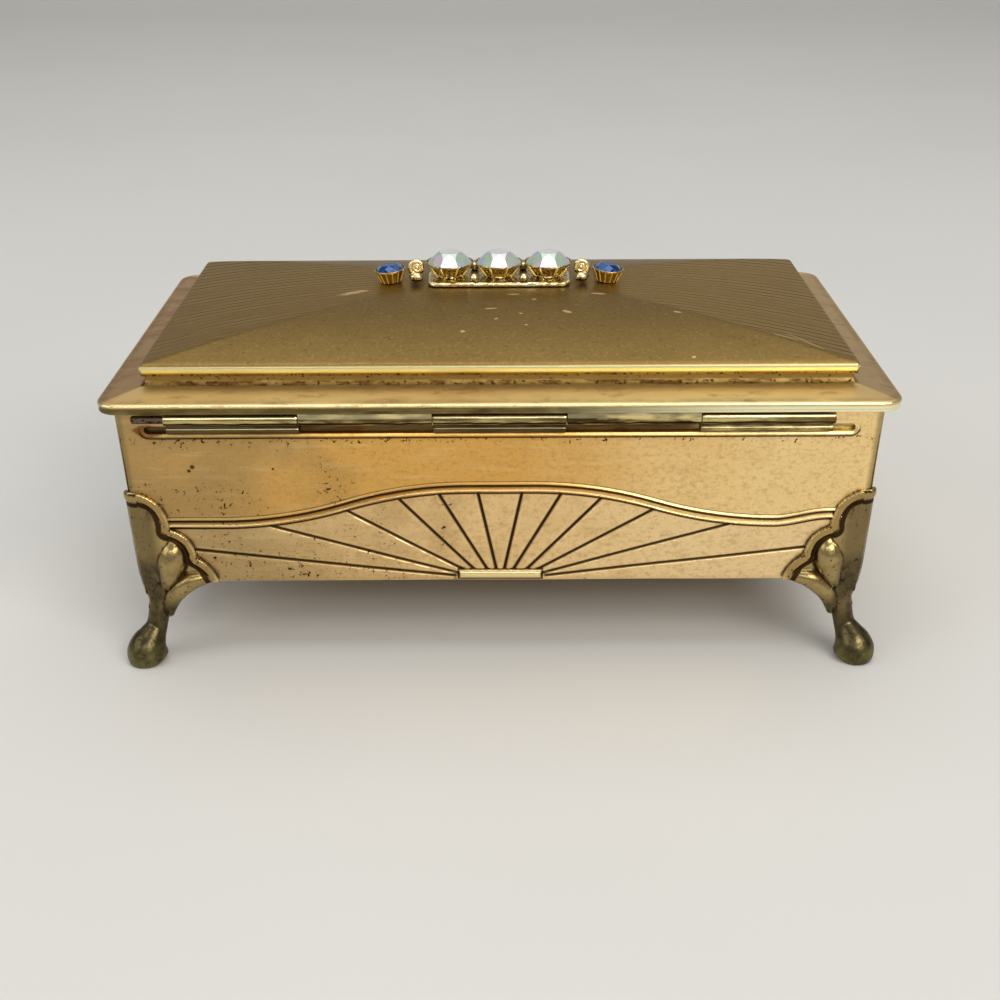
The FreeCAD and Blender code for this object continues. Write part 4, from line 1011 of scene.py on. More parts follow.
def blown_pad(node, inset, glued, cap):
    """Pad of a node's size: a smaller slab of cloth, glued at one level, blown up by no more than cap."""
    low, high = box_mm(node)
    middle = (low + high) / 2
    half = (high - low)[:2] / 2 - inset
    levels = (low[2] + (cap if glued > middle[2] else 0), high[2] - (0 if glued > middle[2] else cap))
    rings = [rounded_ring(half, PAD_CORNER, z - middle[2]) * CLOTH_SCALE for z in levels]
    slab = plain_object(node + "_slab", stacked(rings))
    reskinned(slab, CLOTH_GRID * CLOTH_SCALE)
    points, faces = finished_mesh(slab)
    swollen = points
    cloth = plain_object(node + "_cloth", (points, faces))
    held = np.abs(points[:, 2] - (glued - middle[2]) * CLOTH_SCALE) < 0.5 * CLOTH_GRID * CLOTH_SCALE
    cloth.vertex_groups.new(name="glued").add(np.flatnonzero(held).tolist(), 1.0, "REPLACE")
    swell = cloth.modifiers.new("swell", "CLOTH")
    swell.settings.vertex_group_mass = "glued"
    swell.settings.use_pressure = True
    swell.settings.uniform_pressure_force = CLOTH_PRESSURE
    swell.settings.effector_weights.gravity = 0.0
    swell.point_cache.frame_end = CLOTH_STEPS
    for step in range(1, CLOTH_STEPS + 1):
        bpy.context.scene.frame_set(step)
    swollen = finished_mesh(cloth)[0]
    bpy.context.scene.frame_set(1)
    shift = (swollen - points) / CLOTH_SCALE
    length = np.linalg.norm(shift, axis=1)
    shift *= (np.minimum(length, cap) / np.maximum(length, 1e-6))[:, None]
    eased = plain_object(node + "_eased", (points / CLOTH_SCALE + shift + middle, faces))
    smooth = eased.modifiers.new("smooth", "SUBSURF")
    smooth.levels = 1
    smooth.render_levels = 1
    return finished_mesh(eased)


floor_level = box_mm("floor_pad")[0][2]
floor_pad = mesh_piece("velvet_floor_pad", *blown_pad("floor_pad", 0.5, floor_level, 0.5), velvet, sharp=80)
dress(floor_pad, "casket_base", "floor_pad")

# Hinge
# Two strips of thin brass whose tabs are rolled round a steel wire. The lower strip lies inside the back wall
# and sends three tabs out through the slot; the upper one, with two tabs, is soldered inside the lid's lip.

HINGE_SHEET = 0.35
SHEET_BEVEL = 0.07
ROLL_MIDDLE = 0.875
ROLL_ANGLE = 300
TAB_BEND = 0.4
TAB_SWELL = 0.45
KNUCKLE_PLAY = 0.16
pin_low, pin_high = box_mm("hinge_pin")
hinge_y, hinge_z = (pin_low[1:] + pin_high[1:]) / 2
barrel_low, barrel_high = box_mm("hinge_leaf_body")
knuckle_pitch = (barrel_high[0] - barrel_low[0] + KNUCKLE_PLAY) / 5
slot_z = wall_foot + slot_middle
leaf_strip_y = barrel_high[1] - HINGE_SHEET / 2
lid_strip_top = box_mm("hinge_leaf_lid")[1][2]
KNUCKLE_AGE = (0.1, 0.9, 0.6, 1.0, 0.75)
STRIP_REACH = 4.6


def arc(centre, radius, start, end, steps=9):
    """Points of an arc in the upright plane across the hinge."""
    turn = np.radians(np.linspace(start, end, steps))
    return np.stack((centre[0] + radius * np.cos(turn), centre[1] + radius * np.sin(turn)), 1)


def sheet_run(path, start, end):
    """Thin sheet that follows a path across the hinge and runs along it from start to end."""
    path = np.asarray(path, float)
    way = headings(path)
    across = np.stack((-way[:, 1], way[:, 0]), 1)
    count = len(path)
    stations = np.concatenate(([start, start + SHEET_BEVEL], np.linspace(start + 0.5, end - 0.5, 14),
                               [end - SHEET_BEVEL, end]))
    points = []
    for x in stations:
        half = HINGE_SHEET / 2 * (0.7 if x in (start, end) else 1.0)
        wobble = 0.025 * noise.noise(Vector((x * 0.35, start, 2.0)))
        profile = np.concatenate((path + across * half, (path - across * half)[::-1])) + wobble
        points.append(np.column_stack((np.full(2 * count, x), profile)))
    size = 2 * count
    faces = ring_faces(len(stations), size)
    last = (len(stations) - 1) * size
    for j in range(count - 1):
        faces.append((j, j + 1, size - 2 - j, size - 1 - j))
        faces.append((last + j + 1, last + j, last + size - 1 - j, last + size - 2 - j))
    return np.concatenate(points), faces


def hinge_finish():
    """Brass streaked brown along its length, darker on the older knuckles; painted highlight along the
    barrel, painted shade below it and at the lid's joint.
    """
    finish = Finish("hinge_brass", (212, 192, 128), 0.24)
    streaks = finish.clouds(1.0, 4.0, (0.07, 1.0, 1.0), sharp=0.65)
    finish.lay(streaks.rise(0.46, 0.62) * 0.8, (116, 92, 54), 0.32)
    # Painted shade on the tabs below the barrel, less at the right end.
    finish.lay(finish.mark("low") * finish.along("X").rise(34, 30) * 0.9, (76, 60, 38), 0.36)
    blotched = finish.clouds(1.6, 3.0, (0.25, 1, 1), 5.0)
    finish.lay(finish.mark("age") * blotched.rise(0.36, 0.6), (74, 56, 34), 0.45)
    finish.lay(finish.mark("age") * blotched.rise(0.62, 0.7) * 0.7, (134, 84, 40), 0.5)
    finish.lay(finish.clouds(0.8, 4.0, (0.14, 1, 1), 9.0).rise(0.6, 0.72) * 0.8, (54, 40, 24), 0.55)
    dulled = (1 - finish.mark("age") * 0.75) * (1 - finish.mark("low") * 0.5)
    # Painted highlight along the upper front of the barrel and on the low bar, dimmed on older knuckles and
    # low tabs.
    painted_highlight = finish.mark("edge").rise(0.35, 0.8) * dulled
    finish.lay(painted_highlight * 0.9, (255, 246, 196), 0.18)
    # Painted shade under the barrel and at the lid's joint.
    finish.lay(finish.mark("hollow").rise(0.0, 0.6), (40, 28, 16), 0.6)
    finish.emboss(finish.clouds(0.5, 3.0, (0.3, 1, 1)), 0.012)
    return finish.done()


hinge_brass = hinge_finish()
body_tab = np.concatenate((
    [(leaf_strip_y, slot_z - 2.0)],
    arc((leaf_strip_y - TAB_BEND, slot_z - TAB_BEND), TAB_BEND, 0, 90),
    arc((hinge_y + ROLL_MIDDLE + 0.08, slot_z - 0.15 + TAB_SWELL), TAB_SWELL, 270, 110),
    [(hinge_y + ROLL_MIDDLE, hinge_z - 1.15)],
    arc((hinge_y, hinge_z), ROLL_MIDDLE, 0, ROLL_ANGLE, 31)))
lid_tab = np.concatenate((
    [(hinge_y - ROLL_MIDDLE, lid_strip_top - 0.1), (hinge_y - ROLL_MIDDLE, hinge_z + 0.6)],
    arc((hinge_y, hinge_z), ROLL_MIDDLE, 180, 180 + ROLL_ANGLE, 31)))
body_strip = [(leaf_strip_y, z) for z in np.linspace(barrel_low[2], slot_z + 0.9, 5)]
lid_strip = [(hinge_y - ROLL_MIDDLE, z) for z in np.linspace(lid_strip_top - 0.85, lid_strip_top, 4)]
for leaf, rider, strip, reach, tab, order in (
        ("hinge_leaf_body", "casket_base", body_strip, STRIP_REACH, body_tab, (0, 2, 4)),
        ("hinge_leaf_lid", "lid", lid_strip, 0.0, lid_tab, (1, 3))):
    runs = [sheet_run(strip, barrel_low[0] - reach, barrel_high[0] + reach)]
    ages = [np.full(len(runs[0][0]), 0.5)]
    for knuckle in order:
        left = barrel_low[0] + knuckle * knuckle_pitch
        runs.append(sheet_run(tab, left, left + knuckle_pitch - KNUCKLE_PLAY))
        ages.append(np.full(len(runs[-1][0]), KNUCKLE_AGE[knuckle]))
    leaf_mesh = joined(runs)
    # Marks: edge is a painted highlight on the barrel and the low bar; hollow is painted shade under the
    # barrel and at the lid's joint.
    high = (leaf_mesh[0][:, 2] - hinge_z) / (ROLL_MIDDLE + HINGE_SHEET / 2)
    low_bar_highlight = 0.8 * ridge(leaf_mesh[0][:, 2] - slot_z - 0.62, 0.22)
    lid_joint_shade = ridge(high - 1.25, 0.3) * (rider == "lid")
    ragged = np.array([noise.noise(Vector((x * 0.8, 1.0, 4.0))) for x in leaf_mesh[0][:, 0]])
    under = 0.8 * ridge(high + 0.5 + 0.2 * ragged, 0.3)
    leaf_marks = {"age": np.concatenate(ages), "edge": np.maximum(ridge(high - 0.6, 0.4), low_bar_highlight),
                  "low": ramp(high, -1.0, -1.3),
                  "hollow": np.maximum(np.maximum(ridge(high + 1.12, 0.36), under), lid_joint_shade)}
    dress(mesh_piece("rolled_" + leaf, *leaf_mesh, hinge_brass, leaf_marks), rider, leaf)


def pin_finish():
    """Drawn steel wire gone brown."""
    finish = Finish("pin_steel", (112, 98, 84), 0.42)
    finish.lay(finish.clouds(1.2, 3.0, (0.2, 1, 1)).rise(0.4, 0.7) * 0.7, (70, 56, 44), 0.6)
    finish.lay(finish.pits(0.6, 0.2, 1.0), (58, 34, 20), 0.75)
    finish.emboss(finish.clouds(0.3, 2.0, (0.05, 1, 1)), 0.01)
    return finish.done()


pin_radius = (pin_high[2] - pin_low[2]) / 2
pin_run = np.array([0.0, 0.03, 0.1, 0.25, 0.5])
pin_x = np.concatenate((pin_low[0] + pin_run, np.linspace(pin_low[0] + 2, pin_high[0] - 2, 40),
                        pin_high[0] - pin_run[::-1]))
from_end = np.minimum(pin_x - pin_low[0], pin_high[0] - pin_x)
pin_thick = pin_radius * np.minimum(1, np.sqrt(from_end / 0.3 + 0.35))
pin_path = np.stack((pin_x, np.full_like(pin_x, hinge_y), np.full_like(pin_x, hinge_z)), 1)
pin_path[0, 0] += TUBE_DOME * pin_thick[0]
pin_path[-1, 0] -= TUBE_DOME * pin_thick[-1]
pin = mesh_piece("wire_pin", *tube(pin_path, pin_thick, 24), pin_finish())
dress(pin, "casket_base", "hinge_pin")

# Lid frame
# One pressing of sheet brass: a turned-down lip with a bright bead along its top, a flange that slopes up
# inward with hips at the corners, and an upright collar, beyond a small cove, that carries the panel.

# Profile as (inset from the rim, height above the lip's lower edge, how hollow, how exposed); how exposed
# sets a painted highlight on the bead.
FRAME_PROFILE = (
    (0.42, 0.0, 0.3, 0.0), (0.2, 0.06, 0.3, 0.2), (0.12, 0.22, 0.6, 0.1), (0.2, 0.5, 0.9, 0.0),
    (0.24, 0.8, 0.9, 0.0), (0.14, 1.02, 0.6, 0.0), (0.02, 1.24, 0.2, 0.3), (0.05, 1.46, 0.0, 1.0),
    (0.2, 1.62, 0.0, 0.9), (0.45, 1.72, 0.0, 0.3), (0.8, 1.78, 0.3, 0.0), (2.0, 1.95, 0.0, 0.0),
    (4.0, 2.21, 0.0, 0.0), (5.5, 2.4, 0.0, 0.0), (6.15, 2.5, 0.0, 0.0), (6.55, 2.66, 0.6, 0.0),
    (6.82, 2.95, 0.9, 0.0), (6.96, 3.4, 0.4, 0.0), (7.0, 4.2, 0.2, 0.0), (7.0, 5.3, 0.2, 0.0),
    (7.6, 5.3, 0.0, 0.0), (7.6, 2.1, 0.0, 0.0), (7.3, 2.0, 0.0, 0.0), (0.75, 1.2, 0.0, 0.0),
    (0.6, 1.05, 0.0, 0.0), (0.6, 0.12, 0.0, 0.0), (0.5, 0.0, 0.0, 0.0))
RIM_CORNER = 3.5
LEAST_CORNER = 0.3
# Points of a ring: in each corner, and along a long and a short side.
CORNER_STEPS = 9
SIDE_STEPS = (60, 34)
frame_low, frame_high = box_mm("lid_frame")


def frame_ring(half, radius, z):
    """Rounded rectangle with points along its straight sides too."""
    corners = np.split(rounded_ring(half, radius, z, CORNER_STEPS), 4)
    ring = []
    for i, corner in enumerate(corners):
        following = corners[(i + 1) % 4]
        ring += [corner, np.linspace(corner[-1], following[0], SIDE_STEPS[i % 2])[1:-1]]
    return np.concatenate(ring)


def frame_finish():
    """Orange satin brass, coppery at the two ends, browned in the cove and under the bead of the lip; painted
    highlight on the bead, painted reflection on the right of the lip.
    """
    finish = Finish("frame_brass", (238, 204, 138), 0.42)
    x, y, z = (finish.along(axis) for axis in "XYZ")
    ends = (abs(x) - abs(y) - (frame_high[0] - frame_high[1])).rise(-0.5, 0.5)
    finish.lay(finish.clouds(11, 3.0, (0.5, 1, 1)).rise(0.4, 0.75) * 0.5, (210, 168, 104), 0.46)
    finish.lay(ends * 0.8, (186, 150, 112), 0.4)
    finish.lay(ends * finish.clouds(7, 3.0, shift=2.0).rise(0.45, 0.7) * 0.5, (158, 112, 78), 0.45)
    finish.lay(x.rise(-20, 60) * 0.3, (252, 224, 160), 0.36)
    finish.lay(finish.clouds(1.3, 4.0, (0.3, 0.6, 1)).rise(0.55, 0.72) * 0.4, (140, 102, 54), 0.45)
    stain = finish.clouds(3.4, 4.0, (0.4, 1, 1), 15.0).rise(0.5, 0.64) * x.rise(30, -45)
    finish.lay(stain * 0.4, (160, 110, 62), 0.5)
    up = z - frame_low[2]
    lip = up.rise(1.3, 1.0)
    # Painted reflection of the light on the right part of the lip.
    pale = x.rise(2, 44) * lip
    browned = finish.mark("hollow") * finish.clouds(1.5, 4.0, (0.3, 0.3, 1), 6.0).rise(0.3, 0.6)
    finish.lay(browned, (74, 50, 26), 0.6)
    finish.lay(lip * 0.85, (100, 90, 54), 0.3)
    finish.lay(lip * finish.clouds(1.2, 4.0, (0.16, 0.3, 1), 3.0).rise(0.5, 0.66) * 0.8, (82, 66, 44), 0.5)
    finish.lay(pale * 0.95, (255, 246, 200), 0.22)
    cove = up.rise(2.45, 2.65) * up.rise(3.5, 3.0)
    collar = up.rise(3.0, 3.4)
    finish.lay(collar.at_least(cove) * 0.85, (138, 110, 54), 0.46)
    crust = cove * finish.clouds(1.2, 4.0, (0.3, 0.3, 1), 8.0).rise(0.46, 0.58)
    finish.lay(crust * 0.7, (92, 58, 30), 0.7)
    finish.lay(finish.pits(0.7, 0.2, cove, 4.0), (88, 58, 28), 0.75)
    finish.lay(finish.pits(0.7, 0.14, collar, 9.0), (80, 56, 28), 0.7)
    # Painted highlight along the bead of the lip.
    finish.lay(finish.mark("edge").rise(0.4, 0.9) * 0.85, (252, 234, 176), 0.2)
    worn = finish.clouds(1.0, 4.0, (0.25, 0.4, 1), 12.0).rise(0.56, 0.66)
    finish.lay(finish.mark("edge") * worn * 0.35, (120, 96, 58), 0.4)
    finish.emboss(finish.clouds(0.4, 3.0), 0.006)
    finish.emboss(finish.clouds(4.0, 2.0), 0.03)
    return finish.done()


frame_rings = [frame_ring(frame_high[:2] - inset, max(RIM_CORNER - inset, LEAST_CORNER), frame_low[2] + up)
               for inset, up, _, _ in FRAME_PROFILE]
ring_size = len(frame_rings[0])
frame_faces = ring_faces(len(frame_rings), ring_size, closed=True)
frame_marks = {name: np.repeat([row[column] for row in FRAME_PROFILE], ring_size)
               for name, column in (("hollow", 2), ("edge", 3))}
lid_frame = mesh_piece("pressed_lid_frame", np.concatenate(frame_rings), frame_faces, frame_finish(),
                       frame_marks, sharp=60)
dress(lid_frame, "lid", "lid_frame")

# Lid panel
# A blank of sheet brass crowned both ways, so that soft hips run in from the corners to a short level ridge,
# with its edge rolled over and turned down outside the collar. The end fields are engraved with fanned lines.

PANEL_SHEET = 0.45
PANEL_EDGE_LEVEL = 52.8
# Part of the flat blank that becomes the crowned field; what is beyond it is rolled over and turned down.
PANEL_MARGIN = 0.86
FAN_POINT = 47.0
FAN_STEP = 1.14


class Shape(Recipe):
    """A form made by rule from named sizes, in millimetres."""

    def __init__(self, name, **sizes):
        super().__init__(bpy.data.node_groups.new(name, "GeometryNodeTree"))
        self.sizes = sizes
        self.tree.interface.new_socket("blank", in_out="INPUT", socket_type="NodeSocketGeometry")
        for size in sizes:
            self.tree.interface.new_socket(size, in_out="INPUT", socket_type="NodeSocketFloat")
        self.tree.interface.new_socket("shape", in_out="OUTPUT", socket_type="NodeSocketGeometry")
        self.entry = self.tree.nodes.new("NodeGroupInput")

    def size(self, name):
        """One of the named sizes."""
        return Value(self, self.entry.outputs[name])

    def marked(self, geometry, name, value):
        """Writes a named number on the points of a form."""
        inputs = {"Geometry": geometry, "Name": name, "Value": value}
        return self.node("GeometryNodeStoreNamedAttribute", inputs, data_type="FLOAT", domain="POINT")

    def end(self, geometry, material):
        """Closes the tree: real faces, in metres, with their finish."""
        whole = self.node("GeometryNodeRealizeInstances", {"Geometry": geometry})
        scaled = self.node("GeometryNodeTransform", {"Geometry": whole, "Scale": (MM, MM, MM)})
        finished = self.node("GeometryNodeSetMaterial", {"Geometry": scaled, "Material": material})
        exit_node = self.tree.nodes.new("NodeGroupOutput")
        self.tree.links.new(finished.socket, exit_node.inputs[0])

    def piece(self, name, blank=None, sheet=0.0, sharp=40, **changes):
        """Piece of the form, on a blank and with some sizes changed; given a thickness if it is sheet."""
        maker = plain_object(name + "_blank", blank or ([], []))
        rule = maker.modifiers.new("rule", "NODES")
        rule.node_group = self.tree
        values = {**self.sizes, **changes}
        for item in self.tree.interface.items_tree:
            if item.in_out == "INPUT" and item.name in values:
                rule[item.identifier] = float(values[item.name])
        if sheet:
            wall = maker.modifiers.new("wall", "SOLIDIFY")
            wall.thickness = sheet * MM
            wall.offset = -1
        made = worked_mesh(maker)
        made.name = name
        return shaded(name, made, sharp, merge=0.005 * MM)


def panel_shape(material):
    """Tree of the panel: a flat grid is crowned, and its margin rolled over and turned down."""
    panel_low, panel_high = box_mm("lid_panel")
    shape = Shape("crowned_panel", half_length=panel_high[0], half_width=panel_high[1],
                  edge_level=PANEL_EDGE_LEVEL, crown_rise=panel_high[2] - PANEL_EDGE_LEVEL,
                  ridge_half_length=7.5, ridge_half_width=0.4, edge_round=0.7,
                  skirt=PANEL_EDGE_LEVEL - panel_low[2], skirt_lean=0.22)
    size = shape.size
    rolled = size("edge_round")
    wrap = size("skirt") + rolled * (math.pi / 2 - 1)
    grid = shape.node("GeometryNodeMeshGrid",
                      {"Size X": 2.0, "Size Y": 2.0, "Vertices X": 301, "Vertices Y": 161})
    place = shape.node("GeometryNodeInputPosition")
    plan, over, sign = [], [], []
    for axis, half in (("X", "half_length"), ("Y", "half_width")):
        at = shape.node("ShaderNodeSeparateXYZ", {0: place}, axis)
        reach = abs(at)
        sign.append(at.math("SIGN", at))
        plan.append((size(half) - rolled) * (reach / PANEL_MARGIN).at_most(1.0))
        over.append(wrap * ((reach - PANEL_MARGIN) / (1 - PANEL_MARGIN)).at_least(0.0))
    beyond = over[0].at_least(over[1])
    length = (over[0] * over[0] + over[1] * over[1]) ** 0.5 + 1e-6
    bend = (beyond / rolled).at_most(math.pi / 2)
    straight = (beyond - rolled * (math.pi / 2)).at_least(0.0)
    out = rolled * bend.math("SINE", bend) - straight * size("skirt_lean")
    drop = rolled * (1 - bend.math("COSINE", bend)) + straight
    falls = []
    for i, half in enumerate(("half_length", "half_width")):
        plan[i] = plan[i] + out * over[i] / length
        level_half = size("ridge_" + half)
        run = size(half) - level_half
        rise = size("crown_rise")
        radius = (run * run + rise * rise) / (rise * 2)
        reach = (plan[i] - level_half).at_least(0.0)
        falls.append(radius - (radius * radius - reach * reach) ** 0.5)
    fall = falls[0].math("SMOOTH_MAX", falls[0], falls[1], 0.2)
    height = size("edge_level") + size("crown_rise") - fall - drop
    spot = shape.vector(X=plan[0] * sign[0], Y=plan[1] * sign[1], Z=height)
    bent = grid
    # The edge mark on the roll and upper skirt is for a painted highlight.
    for mark, value in (("edge", drop.rise(0.2, 0.55) * drop.rise(1.9, 1.0)), ("hollow", drop.rise(1.0, 1.8)),
                        ("side", (falls[0] - falls[1]).rise(0.0, 0.12))):
        bent = shape.marked(bent, mark, value)
    bent = shape.node("GeometryNodeSetPosition", {"Geometry": bent, "Position": spot})
    shape.end(bent, material)
    return shape


def chip(finish, place, half, turn):
    """Mask of a chip in the lacquer at a place on the panel, half as (length, width), turned in degrees."""
    x = finish.along("X") - place[0]
    y = finish.along("Y") - place[1]
    c, s = math.cos(math.radians(turn)), math.sin(math.radians(turn))
    ragged = (finish.clouds(1.1, 3.0, shift=place[0]) - 0.5) * 1.4
    return (oval(x * c + y * s, y * c - x * s, *half) ** 0.5 + ragged).rise(1.0, 0.8)


# Chips as (place on the panel, half length and half width, turn).
CHIPS = (((-25.3, -5.2), (3.0, 0.75), 22), ((11.4, -14.6), (0.9, 0.4), -25),
         ((30.0, -15.0), (0.8, 0.28), -15), ((-1.5, -13.4), (1.0, 0.2), 5), ((3.6, -15.2), (0.5, 0.2), -20),
         ((6.0, -9.8), (0.5, 0.25), 10), ((-0.5, -17.0), (0.4, 0.2), 30), ((4.5, -19.0), (0.35, 0.2), 0),
         ((31.2, -28.2), (0.4, 0.25), 30), ((50.0, -23.4), (4.2, 0.22), -48),
         ((46.8, -22.6), (2.4, 0.2), -20), ((2.5, -7.6), (1.2, 0.3), 5), ((17.0, -7.4), (1.5, 0.4), -10),
         ((-6.0, -21.0), (0.4, 0.35), 0))


def panel_finish():
    """Dull khaki lacquer on brass, grained and chipped; painted highlight on the rolled edge, worn engraving
    at the ends.
    """
    finish = Finish("panel_brass", (140, 114, 66), 0.4)
    x, y = finish.along("X"), finish.along("Y")
    finish.lay(finish.clouds(24, 3.0).rise(0.35, 0.75) * 0.5, (132, 106, 60), 0.44)
    side = finish.mark("side")
    finish.lay(side * 0.85, (150, 116, 42), 0.4)
    finish.lay(side * x.rise(0, 40) * 0.4, (176, 140, 66), 0.4)
    finish.lay(finish.clouds(0.7, 4.0, sharp=0.7).rise(0.5, 0.7) * 0.5, (172, 144, 86), 0.36)
    finish.lay(finish.clouds(0.8, 4.0, shift=7.0, sharp=0.7).rise(0.55, 0.72) * 0.6, (100, 78, 44), 0.5)
    spread = abs(x) + FAN_POINT
    angle = y.math("ARCTAN2", y, spread) * (180 / math.pi / FAN_STEP)
    line = angle.math("PINGPONG", angle, 0.5)
    worn = finish.clouds(5.0, 4.0, (0.25, 1.2, 1), 2.0).rise(0.34, 0.62)
    engraved = side * worn * abs(x).rise(14, 24)
    groove = line.rise(0.2, 0.05) * engraved
    finish.lay(groove * 0.75, (84, 62, 32), 0.55)
    finish.lay(line.rise(0.16, 0.26) * line.rise(0.4, 0.3) * engraved * 0.5, (214, 182, 112), 0.3)
    finish.emboss(groove, -0.05)
    for place, half, turn in CHIPS:
        finish.lay(chip(finish, place, half, turn) * 0.85, (226, 194, 136), 0.5)
    edge = finish.mark("edge")
    hollow = finish.mark("hollow")
    # Painted highlight on the rolled edge.
    finish.lay(edge * 0.95, (248, 240, 180), 0.28)
    finish.lay(hollow.rise(0.1, 0.9) * 0.9, (130, 112, 52), 0.36)
    skirt_stain = hollow.rise(0.4, 1.0) * finish.clouds(2.2, 3.0, (0.35, 0.35, 1), 3.0).rise(0.45, 0.62)
    finish.lay(skirt_stain * 0.6, (112, 84, 44), 0.5)
    finish.lay(finish.pits(0.55, 0.2, hollow.rise(0.3, 0.9), 5.0), (72, 50, 24), 0.7)
    finish.emboss(finish.clouds(0.35, 3.0), 0.008)
    finish.emboss(finish.clouds(9.0, 2.0), 0.05)
    return finish.done()


panel = panel_shape(panel_finish()).piece("crowned_panel", sheet=PANEL_SHEET, sharp=60)
dress(panel, "lid", "lid_panel")

# Lid pad
# Old gold satin over wadding, drawn tight over a card that is glued up inside the collar of the frame, with
# small gathers where the cloth is turned over the edge.


def satin_finish():
    """Woven satin: a smooth warp face, faintly streaked across, shadowed in the gathers near its edges."""
    finish = Finish("lid_satin", (186, 158, 104), 0.42, 0.0)
    x, y = finish.along("X"), finish.along("Y")
    finish.lay(finish.clouds(1.0, 2.0, (0.1, 1, 1)).rise(0.4, 0.7) * 0.2, (204, 178, 124), 0.38)
    finish.lay(finish.clouds(18, 3.0, shift=4.0).rise(0.45, 0.75) * 0.4, (160, 128, 80), 0.5)
    weave = (x * 6.0).math("SINE", x * 6.0) * (y * 9.0).math("SINE", y * 9.0)
    edge = (abs(x).rise(48, 55.5)).at_least(abs(y).rise(20, 27.5))
    gathers = finish.clouds(2.4, 2.0, (1, 1, 0.2), 7.0)
    finish.lay(edge * gathers.rise(0.5, 0.75) * 0.4, (150, 122, 76), 0.5)
    finish.emboss(gathers * edge, 0.5)
    finish.emboss(weave, 0.012)
    return finish.done(Sheen_Weight=0.3, Sheen_Roughness=0.3)


card_level = box_mm("lid_pad")[1][2]
lid_pad = mesh_piece("satin_lid_pad", *blown_pad("lid_pad", 0.7, card_level, 0.9), satin_finish(), sharp=80)
dress(lid_pad, "lid", "lid_pad")

# Ornament bar
# A flat bar of cast brass that carries the brooch, a little uneven along its edges; two posts under it go
# through the panel and are peened inside.

BAR_SHEET = 0.8
BAR_CORNER = 1.8
# Rings of the bar: (inset, height, how exposed); how exposed sets a painted highlight on its rounded sides.
BAR_PROFILE = ((0.35, 0.0, 0.2), (0.05, 0.12, 0.8), (0.0, 0.3, 1.0), (0.04, 0.55, 1.0), (0.25, 0.74, 0.9),
               (0.8, 0.8, 0.2))
BAR_LUMPS = 0.35
STONE_PITCH = 8.65
POST_RADIUS = 0.6
bar_low, bar_high = box_mm("ornament_bar")
bar_top = bar_high[2]


def ornament_finish():
    """Gilt cast brass, with painted highlights on its exposed parts and painted shade, nearly black, in its
    recesses.
    """
    finish = Finish("ornament_brass", (208, 188, 132), 0.26)
    finish.lay(finish.clouds(0.9, 4.0).rise(0.48, 0.66) * 0.7, (150, 112, 60), 0.38)
    finish.lay(finish.clouds(0.5, 3.0, shift=4.0).rise(0.5, 0.68) * 0.6, (250, 226, 158), 0.18)
    # Painted shade in recesses and where parts meet the bar.
    finish.lay(finish.mark("hollow").rise(0.15, 0.7) * 0.95, (44, 30, 16), 0.55)
    finish.lay(finish.pits(0.5, 0.2, 1.0, 2.0), (70, 46, 24), 0.6)
    # Painted highlights on exposed edges, prongs, tops of beads and links.
    finish.lay(finish.mark("edge").rise(0.4, 0.9) * 0.8, (255, 238, 184), 0.16)
    finish.emboss(finish.clouds(0.35, 3.0), 0.03)
    return finish.done()


ornament_brass = ornament_finish()
bar_rings = []
for inset, up, _ in BAR_PROFILE:
    ring = frame_ring(bar_high[:2] - inset, BAR_CORNER, bar_top - BAR_SHEET + up)
    lumps = np.array([noise.noise(Vector(p) * 0.9) for p in ring])
    bar_rings.append(ring - np.outer(np.abs(lumps), (0, 1, 0)) * np.sign(ring) * BAR_LUMPS)
post_foot, post_top = bar_low[2], bar_top - 0.3
post_points, post_faces = lathe(((0, post_foot), (1.1, post_foot), (1.0, post_foot + 0.42),
                                 (POST_RADIUS, post_foot + 0.5), (POST_RADIUS, post_top), (0, post_top)), 24)
posts = [(post_points + (side * STONE_PITCH / 2, 0, 0), post_faces) for side in (-1, 1)]
bar_points, bar_faces = joined([stacked(bar_rings)] + posts)
bar_edge = np.zeros(len(bar_points))
bar_edge[:-2 * len(post_points)] = np.repeat([row[2] for row in BAR_PROFILE], len(bar_rings[0]))
bar = mesh_piece("cast_bar", bar_points, bar_faces, ornament_brass,
                 {"edge": bar_edge, "hollow": np.zeros(len(bar_edge))})
dress(bar, "lid", "ornament_bar")

# Cups
# Three open cups in a row on the bar, turned from brass, each with a gallery of eight leaning prongs
# and a thin rim that is burnished over the girdle of its stone.

CUP = ((0, 0.0), (2.1, 0.0), (2.28, 0.12), (2.2, 0.35), (2.45, 0.8), (3.05, 1.5), (3.75, 2.12), (4.2, 2.36),
       (4.25, 2.48), (4.18, 2.58), (4.03, 2.58), (4.01, 2.3), (3.6, 1.9), (2.2, 1.0), (0.7, 0.5), (0, 0.5))
CUP_WALL = CUP[1:9]
CUP_PLACES = (("left", -STONE_PITCH), ("centre", 0.0), ("right", STONE_PITCH))


